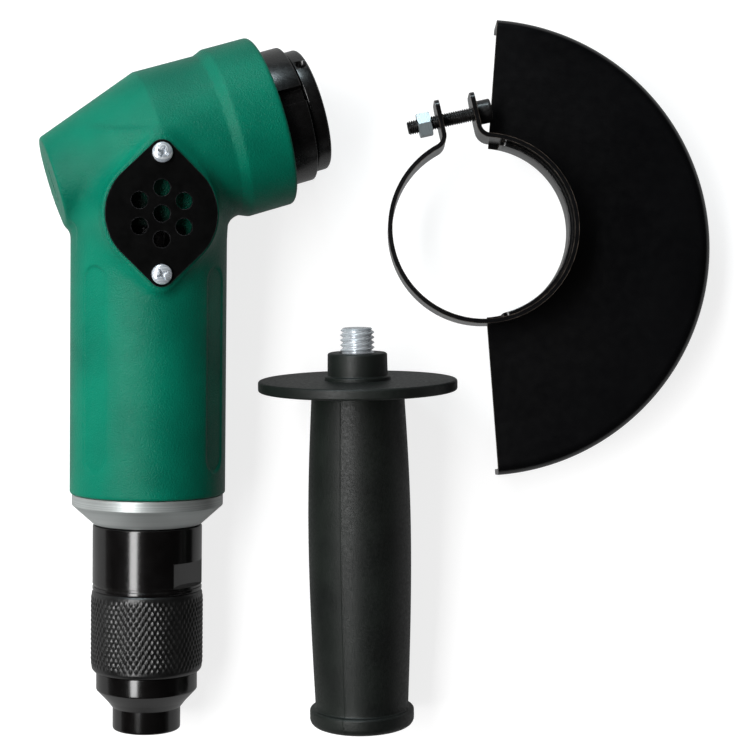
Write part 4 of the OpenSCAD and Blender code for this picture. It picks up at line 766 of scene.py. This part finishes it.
rubber = plain_grain("seal_rubber", "rubber", "#0d0d0d", "#1a1a1a", 0.8, 0.5, 0.75)
gasket = plain_grain("gasket_paper", "rubber", "#2b2b29", "#45453f", 0.4, 0.8, 0.95)
laminate = plain_grain("vane_laminate", "vane_laminate", "#5d4422", "#7b5c31", 1.2, 0.45, 0.65)
dress(rubber, "spindle_seal", "sleeve_seals")
dress(gasket, "exhaust_gasket")
dress(laminate, "vanes")
print("soft finishes ready")

# %% [markdown]
# The cover's two screws are zinc-plated pan heads with a cross recess.  A recess cut with a boolean
# would need cutters for every arm; here the top of the head is a fine round grid, and each point is
# simply lowered where the cross is, deeper towards the middle.

# %% Cover screws
PAN_R, PAN_RIM, DOME, PAN_SEAT, SHANK_R, SHANK = 3.4, 0.95, 1.4, 2.3, 1.75, 6.0
CROSS_HALF, CROSS_REACH, CROSS_DEPTH = 0.5, 1.9, 1.35

def cross_recess(x, y):
    """How far the recess lowers the top of the head."""
    r = np.hypot(x, y)
    arm = np.minimum(np.abs(x), np.abs(y)) - CROSS_HALF * (1 - 0.35 * r / CROSS_REACH)
    inside = np.clip(-arm / 0.12, 0, 1) * np.clip((CROSS_REACH - r) / 0.15, 0, 1)
    core = np.clip((CROSS_HALF * 1.7 - r) / 0.2, 0, 1)
    return CROSS_DEPTH * np.maximum(inside * (1 - 0.6 * r / CROSS_REACH), core)

def pan_head(s, spin):
    """One screw at an end of the cover, its cross turned by an angle in radians."""
    dome = [(PAN_R * math.sin(a), PAN_RIM + DOME * math.cos(a)) for a in np.linspace(0.05, 1.5, 34)]
    rim = [(PAN_R, 0.8), (PAN_R - 0.02, 0.0), (SHANK_R, 0.0), (SHANK_R, -SHANK), (0, -SHANK)]
    profile = np.array([(0, PAN_RIM + DOME)] + dome + rim)
    def shape(p):
        x, y = p[..., 0], p[..., 1]
        u, v = x * math.cos(spin) - y * math.sin(spin), x * math.sin(spin) + y * math.cos(spin)
        p[..., 2] -= np.where(p[..., 2] > 1.3, cross_recess(u, v), 0)
        return p
    place = TOOL.shifted(0, -COVER_AT + s * COVER_HALF, PAD_TOP + PAN_SEAT)
    return lathe(place, profile, 160, False, shape)

def joined(parts):
    """Several lists of points and faces as one."""
    verts, faces = [], []
    for v, f in parts:
        faces += [[i + len(verts) for i in face] for face in f]
        verts += v.tolist()
    return verts, faces

both_heads = joined([pan_head(1, 0.4), pan_head(-1, 1.1)])
heads = piece("cover_pan_screws", *both_heads, "tool", ["cover_screws"], 35)
dress(zinc_cover, heads)
print("cover screws:", len(heads.data.polygons), "faces")

# %% [markdown]
# The front of the head: a bearing cap screwed in with a pin-and-notch spanner, then the flange that
# the wheel sits on.  Both are turned, with small broken edges that catch the light.  The notches are
# cut by pulling the rim's points inwards between two angles.

# %% Bearing cap and wheel flange
CAP_R, NOTCH_TURNS, NOTCH_HALF, NOTCH_R, NOTCH_FROM = 24.0, (166, -14), 2.62, 21.2, 44.45

def spanner_notches(p):
    t, r = polar(p)
    for turn in NOTCH_TURNS:
        near = np.abs(arc_from(turn, t, CAP_R)) < NOTCH_HALF
        p = moved_out(p, near & (r > NOTCH_R) & (p[..., 2] > NOTCH_FROM), r, NOTCH_R)
    return p

cap_path = [(17.5, 28.5), (22.45, 28.5, 0.5), (22.45, 44.5), (CAP_R, 44.5, 0.35), (CAP_R, 53.7, 0.6),
            (17.0, 53.7, 0.4), (16.4, 53.2), (11.2, 53.2), (11.2, 49.4), (14.52, 49.4), (14.52, 43.4),
            (15.0, 40), (17.5, 40)]
cap = turned("bearing_cap_turned", SPINDLE, cap_path, "tool", ["bearing_cap"], segments=480,
             shape=spanner_notches, smooth=30)
flange_path = [(7.6, 40.1), (10.5, 40.1, 0.3), (10.5, 54.6), (21.6, 54.6, 0.5), (21.6, 59.8, 1.1),
               (15.0, 59.8, 0.2), (14.2, 59.0), (8.0, 59.0, 0.3), (7.6, 58.6)]
flange = turned("wheel_flange_turned", SPINDLE, flange_path, "spindle", ["wheel_flange"], segments=192)
dress(spindle_black, cap, flange)

# %% [markdown]
# The pin-spanner hole in the flange's rim is a short dark tube let into it.  A Boolean modifier suits
# it: one clean cut in one simple solid.

# %% Pin-spanner hole
HOLE_TURN, HOLE_H, HOLE_R, HOLE_FROM, HOLE_TO = math.radians(134), 57.2, 1.95, 14.6, 26

def drill(target, place, radius, low, high):
    """Cut a round hole along a place's z axis."""
    bit_path = np.array([(0, low), (radius, low), (radius, high), (0, high)])
    bit = piece("drill_bit", *lathe(place, bit_path, 40), "spindle")
    cut = target.modifiers.new("hole", "BOOLEAN")
    cut.object, cut.solver = bit, "EXACT"
    bpy.context.view_layer.update()
    done = bpy.data.meshes.new_from_object(target.evaluated_get(bpy.context.evaluated_depsgraph_get()))
    target.modifiers.clear()
    target.data = done
    bpy.data.objects.remove(bit)

rim_out = SPINDLE.axes[0] * math.cos(HOLE_TURN) + SPINDLE.axes[1] * math.sin(HOLE_TURN)
hole_at = Place(SPINDLE.out([0, 0, HOLE_H]), np.cross(SPINDLE.axes[2], rim_out), SPINDLE.axes[2], rim_out)
drill(flange, hole_at, HOLE_R, HOLE_FROM, HOLE_TO)
print("flange drilled:", len(flange.data.polygons), "faces")

# %% [markdown]
# The lock ring closes the body tube: bare aluminium, a short straight rim and a long cone.  Behind it
# come the black throttle body with its two spanner flats, the knurled sleeve and the stepped inlet
# bush.  A flat is made by stopping every point at the flat's distance from the axis.

# %% Lock ring, throttle body and inlet bush
BORE_R, FLATS_APART, FLATS_TURN, HAIR = 22.45, 33.0, math.radians(-50.5), 0.02
THROTTLE_R, GROOVE_R, NECK_R, SPIGOT_R, BUSH_R, NOSE_R = 19.1, 18.5, 15.6, 12.5, 17.7, 11.9
THREAD_DEEP, STRAINER_DEEP, STRAINER_R = 13.9, 14.95, 6.6

def spanner_flats(p):
    c, s = math.cos(FLATS_TURN), math.sin(FLATS_TURN)
    z, n = p[..., 2], p[..., 0] * -s + p[..., 1] * c
    here = (z > FLAT_FROM) & (z < FLAT_TO) & (np.hypot(p[..., 0], p[..., 1]) > FLATS_APART / 2)
    over = np.where(here, np.sign(n) * np.maximum(np.abs(n) - FLATS_APART / 2, 0), 0)
    p[..., 0] += over * s
    p[..., 1] -= over * c
    return p

ring_path = [(17.5, RING_IN), (BORE_R, RING_IN, 0.5), (BORE_R, RING_FROM), (26.35, RING_FROM, 0.4),
             (26.35, RING_CONE, 0.5), (18.9, RING_TO, 0.3), (16.02, RING_TO), (16.02, RING_IN + 6),
             (17.5, RING_IN + 4.6)]
ring = turned("lock_ring_turned", MOTOR, ring_path, "tool", ["lock_ring"], segments=192)
dress(ring_aluminium, ring)

edges_of_flat = [(THROTTLE_R, z + side * HAIR) for z in (FLAT_FROM, FLAT_TO) for side in (-1, 1)]
throttle_path = [(0, VALVE_FROM - 4), (11, VALVE_FROM - 4), (11, RING_IN + 6.2), (16, RING_IN + 6.2, 0.4),
                 (16, THROTTLE_FROM), (THROTTLE_R, THROTTLE_FROM, 0.6), *edges_of_flat,
                 (GROOVE_R, SLEEVE_FROM - 2.15, 0.1), (GROOVE_R, SLEEVE_FROM - 1.4, 0.1),
                 (THROTTLE_R, SLEEVE_FROM - 1.3, 0.1), (THROTTLE_R, SLEEVE_FROM - 0.1, 0.3),
                 (NECK_R, SLEEVE_FROM - 0.1), (NECK_R, SLEEVE_TO), (SPIGOT_R, SLEEVE_TO),
                 (SPIGOT_R, BUSH_IN), (9.05, BUSH_IN), (9.05, VALVE_FROM), (0, VALVE_FROM)]
throttle = turned("throttle_body_turned", MOTOR, throttle_path, "tool", ["throttle_body"], False, 360,
                  shape=spanner_flats, smooth=30)
bush_path = [(6, BUSH_IN + 0.1), (12.45, BUSH_IN + 0.1, 0.4), (12.45, SLEEVE_TO + 0.1),
             (BUSH_R, SLEEVE_TO + 0.1, 0.6), (BUSH_R, TAPER_FROM, 0.8), (13.8, TAPER_FROM + 4.2, 0.6),
             (12.1, NOSE_FROM, 0.3), (NOSE_R, NOSE_FROM, 0.3), (NOSE_R, INLET_END, 0.9),
             (8.8, INLET_END, 0.2), (8.35, INLET_END - 0.6), (8.35, INLET_END - THREAD_DEEP),
             (STRAINER_R, INLET_END - THREAD_DEEP), (STRAINER_R, INLET_END - STRAINER_DEEP),
             (6, INLET_END - STRAINER_DEEP)]
bush = turned("inlet_bush_turned", MOTOR, bush_path, "tool", ["inlet_bush"], segments=192)
dress(motor_black, throttle, bush)

# %% [markdown]
# The sleeve's grip is a diamond knurl: two families of grooves that cross and leave rows of little
# pyramids.  A bump texture would go flat at the outline, so the knurl is real.  The grid has eight
# points to each groove, and the product of two smooth waves, one for each family, sets each point's
# height.  The band fades out at both ends, where the knurling wheel left it.

# %% Knurled throttle sleeve
GROOVES, DIAMOND, KNURL_DEPTH, KNURL_POINTS = 63, 3.25, 0.36, 8
KNURL_R, SLEEVE_R, SLEEVE_END_R, SLEEVE_BORE = 19.65, 19.15, 18.6, 15.65

def knurl(low, high):
    """A band of diamonds round the sleeve, and how many points go round it."""
    per = KNURL_POINTS
    rows = int(round((high - low) / DIAMOND)) * per
    n = GROOVES * per
    i, j = np.arange(n)[:, None], np.arange(rows + 1)[None, :]
    one, other = (np.sin(math.pi * k / per) ** 2 for k in (i + j, i - j))
    lift = np.minimum(1, 1.15 * one * other) ** 0.8
    ends = np.clip(np.minimum(j, rows - j) / per, 0, 1)
    r = KNURL_R - KNURL_DEPTH + KNURL_DEPTH * lift * np.minimum(1, ends * 1.5)
    return spun(r, low + (high - low) * j / rows, n), n

def knurled_sleeve():
    band, n = knurl(SLEEVE_FROM + 0.9, SLEEVE_TO - 1.1)
    before = rounded([(SLEEVE_BORE, SLEEVE_FROM), (SLEEVE_END_R, SLEEVE_FROM, 0.2),
                      (SLEEVE_R, SLEEVE_FROM + 0.6)], False, 3)
    after = rounded([(SLEEVE_R, SLEEVE_TO - 0.7), (SLEEVE_END_R, SLEEVE_TO, 0.2),
                     (SLEEVE_BORE, SLEEVE_TO)], False, 3)
    p = np.concatenate([spun(*before.T, n), band, spun(*after.T, n)], 1)
    return piece("throttle_sleeve_knurled", MOTOR.out(p.reshape(-1, 3)),
                 grid_faces(n, p.shape[1], True, True), "throttle", ["throttle_sleeve"], 25)

sleeve = knurled_sleeve()
# its lighter edge colour is partly wear, partly a painted highlight on the diamonds
knurl_black = black_steel("black_oxide_knurl", MOTOR, 0.28, 0.42, ("#0a0a0a", "#121212"), "#56524e")
dress(knurl_black, sleeve)
print("knurl:", len(sleeve.data.polygons), "faces")

# %% [markdown]
# Screw threads are the same idea as the knurl, with one helical groove.  The height of a point on the
# grid depends on how far it is along the pitch, so the crest and the root come out as flats joined by
# sloping flanks.  The handle's stud has its thread outside, and the air inlet has one in its bore.

# %% Threads
def bar(radius, low, high, segments):
    """A plain round shank as a grid, so it can share a mesh with a thread."""
    return spun(np.array([0, radius, radius, 0]), np.array([low, low, high, high]), segments)

def thread(radius, low, high, pitch, depth, segments, chamfer, per=14, inner=0.0):
    """A thread as a grid, closed at both ends on to an inner radius."""
    rows = int((high - low) / pitch * per) + 1
    turns = np.arange(segments)[:, None] / segments
    z = np.linspace(low, high, rows)[None, :]
    phase = ((z - low) / pitch - turns) % 1.0
    cut = np.clip((0.5 - np.abs(phase - 0.5)) / 0.40 - 0.10, 0, 1)
    r = np.minimum(radius - depth * cut, radius - np.maximum(0, chamfer - (high - z)))
    foot, top = (spun(inner, end, segments) for end in (low, high))
    return np.concatenate([foot, spun(r, z, segments), top], 1)

def threaded(name, place, body, stands_for, parts, closed=False):
    """One piece from several grids of points on one axis."""
    grids = [(place.out(p.reshape(-1, 3)), grid_faces(*p.shape[:2], True, closed)) for p in parts]
    return piece(name, *joined(grids), body, stands_for, 30)

collar_face = DISC_T / 2 + COLLAR_LEN
stud_parts = [bar(5.4, -57.9, collar_face, 96),
              thread(5.98, collar_face + 0.02, collar_face + STUD_OUT, 1.75, 1.0, segments=96, chamfer=1.1)]
stud = threaded("stud_threaded", HANDLE, "side_handle", ["handle_stud"], stud_parts)
dress(zinc_handle, stud)

inlet_part = thread(8.33, INLET_END - THREAD_DEEP, INLET_END - 0.6, 1.337, 0.83, per=10, segments=96,
                    inner=8.36, chamfer=0)
inlet = threaded("inlet_thread", MOTOR, "tool", ["inlet_bush"], [inlet_part], closed=True)
dress(motor_black, inlet)
print("threads:", len(stud.data.polygons), "and", len(inlet.data.polygons), "faces")

# %% [markdown]
# The clamp screw has a plain round socket head with a hexagon socket in its end.  The socket's wall is
# a ring of points like any other, moved in or out to the hexagon's distance at each angle.

# %% Clamp screw
SOCKET_WALL_R, SOCKET_FLATS, SIXTH = 2.38, 4.0, math.pi / 3

def hexagon_r(t):
    """Distance from the middle to a hexagon's side at an angle in radians."""
    return SOCKET_FLATS / 2 / np.cos((t + SIXTH / 2) % SIXTH - SIXTH / 2)

def socket_head():
    head = subdivide(rounded([(4.25, 0.0, 0.1), (4.25, -5.2, 0.5), (2.6, -5.2)], False, 4), 0.5)
    profile = np.vstack([[(2.4, 0.0)], head, [(2.35, -5.2), (2.3, -2.6), (0, -2.2)]])
    p = spun(*profile.T, 180)
    t, r = polar(p)
    return moved_out(p, (r > 0.5) & (r < SOCKET_WALL_R) & (p[..., 2] < -1), r, hexagon_r(np.radians(t)))

screw = threaded("clamp_screw_threaded", SCREW, "clamp_screw", ["clamp_screw"],
                 [socket_head(), thread(2.49, -0.05, 25.0, 0.8, 0.45, segments=48, chamfer=0.5)])
dress(screw_black, screw)
print("clamp screw:", len(screw.data.polygons), "faces")

# %% [markdown]
# The side handle is a glass-filled nylon moulding: a disc that guards the hand, a collar round the
# stud, a grip that swells in the palm, and an end flange.  The mould leaves a fine parting line along
# each side, so the profile is turned and a hair of plastic is raised along it.

# %% Side handle
LINE_TURNS, LINE_HIGH, LINE_WIDE, GRIP_SKIN_R = (-110.0, 70.0), 0.13, 0.26, 13
STUD_BORE, CORE_R, GRIP_R, GRIP_END_R = 5.42, 8.35, 16.1, 18.4
SWELL_R, SWELL_AT, SWELL_END, GRIP_END = 18.0, -54, -114.3, -120.5
DISC_R, DISC_FACE = 34.7, DISC_T / 2

def parting_line(p):
    t, r = polar(p)
    line = sum(LINE_HIGH * np.exp(-(arc_from(turn, t, r) / LINE_WIDE) ** 2) for turn in LINE_TURNS)
    return moved_out(p, r > GRIP_SKIN_R, r, r + line)

def swell(low_r, low_z, count=14):
    """Points of the grip's outline from a narrow end up to its widest place, both left out."""
    shares = [k / count for k in range(1, count)]
    return [(low_r + (SWELL_R - low_r) * math.sin(math.pi / 2 * s), low_z + (SWELL_AT - low_z) * s)
            for s in shares]

grip_path = [(0, -58.9), (STUD_BORE, -58.9), (STUD_BORE, -7.9), (CORE_R, -7.9), (CORE_R, -DISC_FACE),
             (GRIP_R, -DISC_FACE, 0.6), *swell(GRIP_R, -DISC_FACE), (SWELL_R, SWELL_AT),
             *swell(16.35, SWELL_END)[::-1], (16.35, SWELL_END, 0.6), (GRIP_END_R, SWELL_END, 2.5),
             (GRIP_END_R, GRIP_END, 2.6), (0, GRIP_END)]
grip = turned("grip_moulded", HANDLE, grip_path, "side_handle", ["handle_grip"], closed=False,
              segments=480, longest=4.0, shape=parting_line)
disc_path = [(8.4, -DISC_FACE), (33.0, -DISC_FACE), (DISC_R, -DISC_FACE, 1.7), (DISC_R, DISC_FACE, 1.7),
             (33.0, DISC_FACE), (8.4, DISC_FACE)]
disc = turned("hand_guard_moulded", HANDLE, disc_path, "side_handle", ["hand_guard_disc"], segments=192,
              steps=10)
collar_path = [(STUD_BORE, 1.0), (11.5, 1.0), (11.5, 3.1, 0.4), (10.5, 3.4, 0.3),
               (10.35, collar_face, 0.8), (6.6, collar_face, 0.2), (STUD_BORE, collar_face - 0.7)]
collar = turned("collar_moulded", HANDLE, collar_path, "side_handle", ["handle_collar"])

# %% [markdown]
# Glass-filled nylon has a skin of short fibres under a thin film of plastic.  It is dark with a cold
# green cast, neither matt nor glossy, so a fine noise breaks up its sheen, and a broad, very shallow
# one stands for the mould's own texture.

# %% Black nylon
nylon = Finish("black_nylon", "black_plastic", Specular_IOR_Level=0.45)
spark = nylon.noise(1.1, 4.0, 0.65)
nylon.colours(nylon.noise(14.0, 3.0), "#0d100e", "#141815")
nylon.rough(spark, 0.40, 0.60)
nylon.bump(spark, 0.07, 0.6)
nylon.bump(nylon.noise(5.0, 3.0), 0.12, 0.25)
dress(nylon, grip, disc, collar)
print("nylon on three mouldings")

# %% [markdown]
# The wheel guard is pressed from two millimetre sheet: a half-round plate, a skirt bent down round its
# rim, and a collar drawn up round its hole.  The skirt is centred on the wheel and the collar is a
# little off centre, so each point of the sheet is placed between an angle about one middle and an
# angle about the other.  One closed section swept that way gives the sheet its thickness and its bends.

# %% Wheel guard sheet
GUARD_R, PLATE_Z, SHEET, FOOT_H = 82.1, 20.0, 2.0, 3.0
COLLAR_R, DRAWN, DRAWN_H, COLLAR_CORNER = 30.25, 1.5, 12.0, 2.5
PLATE_OUT_R, PLATE_IN_R, PLATE_HOLE_R = 60, 34, 32
HALF_SPAN, WALL_FROM, WALL_TO = math.radians(85.8), math.radians(-77), math.radians(79)
STEPS_ROUND, STEPS_AT_END, END_ZONE = 170, 13, 0.012
ring_at = GUARD.into(ring_middle)[:2]

def section():
    """(radius, height, which middle) round the sheet: 1 is the skirt's middle, 0 the collar's."""
    skin, under, wall, top = GUARD_R - SHEET, PLATE_Z - SHEET, COLLAR_R + DRAWN, PLATE_Z + DRAWN_H
    foot = rounded([(skin, FOOT_H), (skin, 0.0, 0.35), (GUARD_R, 0.0, 0.35), (GUARD_R, FOOT_H)], False, 3)
    skirt_out = rounded([(GUARD_R, FOOT_H), (GUARD_R, PLATE_Z, 4.0), (PLATE_OUT_R, PLATE_Z)], False, 9)
    drawn = rounded([(PLATE_IN_R, PLATE_Z), (wall, PLATE_Z, 1.6), (wall, top, 0.3), (COLLAR_R, top, 0.3),
                     (COLLAR_R, under, 2.2), (PLATE_IN_R, under)], False, 5)
    skirt_in = rounded([(PLATE_OUT_R, under), (skin, under, 2.2), (skin, FOOT_H)], False, 7)
    loop = [(foot, 1.0), (skirt_out[1:], 1.0), (drawn, 0.0), (skirt_in, 1.0)]
    return np.vstack([np.column_stack([points, np.full(len(points), middle)]) for points, middle in loop])

def ray_hit(angle, radius):
    """Angle about the collar's middle where a ray from the skirt's middle meets a circle of that radius."""
    d = np.array([math.cos(angle), math.sin(angle)])
    k = d @ ring_at
    t = k + math.sqrt(k * k - ring_at @ ring_at + radius * radius)
    hit = d * t - ring_at
    return math.atan2(hit[1], hit[0])

def guard_points():
    """The sheet's section, placed at steps round the guard that are finer where the collar's wall ends."""
    loop = section()
    first, last = (ray_hit(end, PLATE_HOLE_R) for end in (-HALF_SPAN, HALF_SPAN))
    fine = np.linspace(-END_ZONE, END_ZONE, STEPS_AT_END)
    ends = [np.clip((wall - first) / (last - first) + fine, 0, 1) for wall in (WALL_FROM, WALL_TO)]
    s = np.unique(np.concatenate([np.linspace(0, 1, STEPS_ROUND), *ends]))
    about_collar, about_skirt = first + (last - first) * s, -HALF_SPAN + 2 * HALF_SPAN * s
    gap = np.minimum(about_collar - WALL_FROM, WALL_TO - about_collar) * COLLAR_R
    corner = np.clip(gap / COLLAR_CORNER, 0, 1)
    round_end = DRAWN_H - COLLAR_CORNER + COLLAR_CORNER * np.sqrt(np.maximum(0, 1 - (1 - corner) ** 2))
    rise = np.where(gap <= 0, 0, round_end)
    out = []
    for f, t, up in zip(about_collar, about_skirt, rise):
        a = np.array([math.cos(f), math.sin(f)])
        b = np.array([math.cos(t), math.sin(t)])
        base = np.where(loop[:, 2:3] > 0.5, loop[:, :1] * b, ring_at + loop[:, :1] * a)
        out.append(np.column_stack([base, np.minimum(loop[:, 1], PLATE_Z + up)]))
    return np.array(out)

points = guard_points()
n, m = points.shape[:2]
cut_ends = [list(range(m))[::-1], list(range((n - 1) * m, n * m))]
shell = piece("guard_pressed", GUARD.out(points.reshape(-1, 3)), grid_faces(n, m, False, True) + cut_ends,
              "wheel_guard", ["guard_shell"], 32)
print("guard:", len(shell.data.polygons), "faces")

# %% [markdown]
# The guard and its band are painted gloss black.  The paint is thick and a little wavy, and along the
# cut edges it is lightened to thin light lines: partly bare steel where it wears off, partly a painted
# highlight.

# %% Gloss black paint
gloss = Finish("gloss_black_paint", "black_steel", Specular_IOR_Level=0.7)
tint = gloss.colours(gloss.noise(30.0, 3.0), "#030304", "#060607")
# light edge lines: partly worn paint, partly painted highlight
gloss.worn_and_highlit_edges(tint, "#6b5f55", 0.4, 0.7)
gloss.rough(gloss.noise(3.0, 3.0), 0.20, 0.24)
gloss.bump(gloss.noise(6.0, 1.0), 0.02, 0.3)
dress(gloss, shell, "clamp_band")
print("gloss paint on the guard and its band")

# %% [markdown]
# The dressed pieces mustn't outgrow the solids.  At the end the scene is brought up to date.

# %% Finish
bpy.context.view_layer.update()
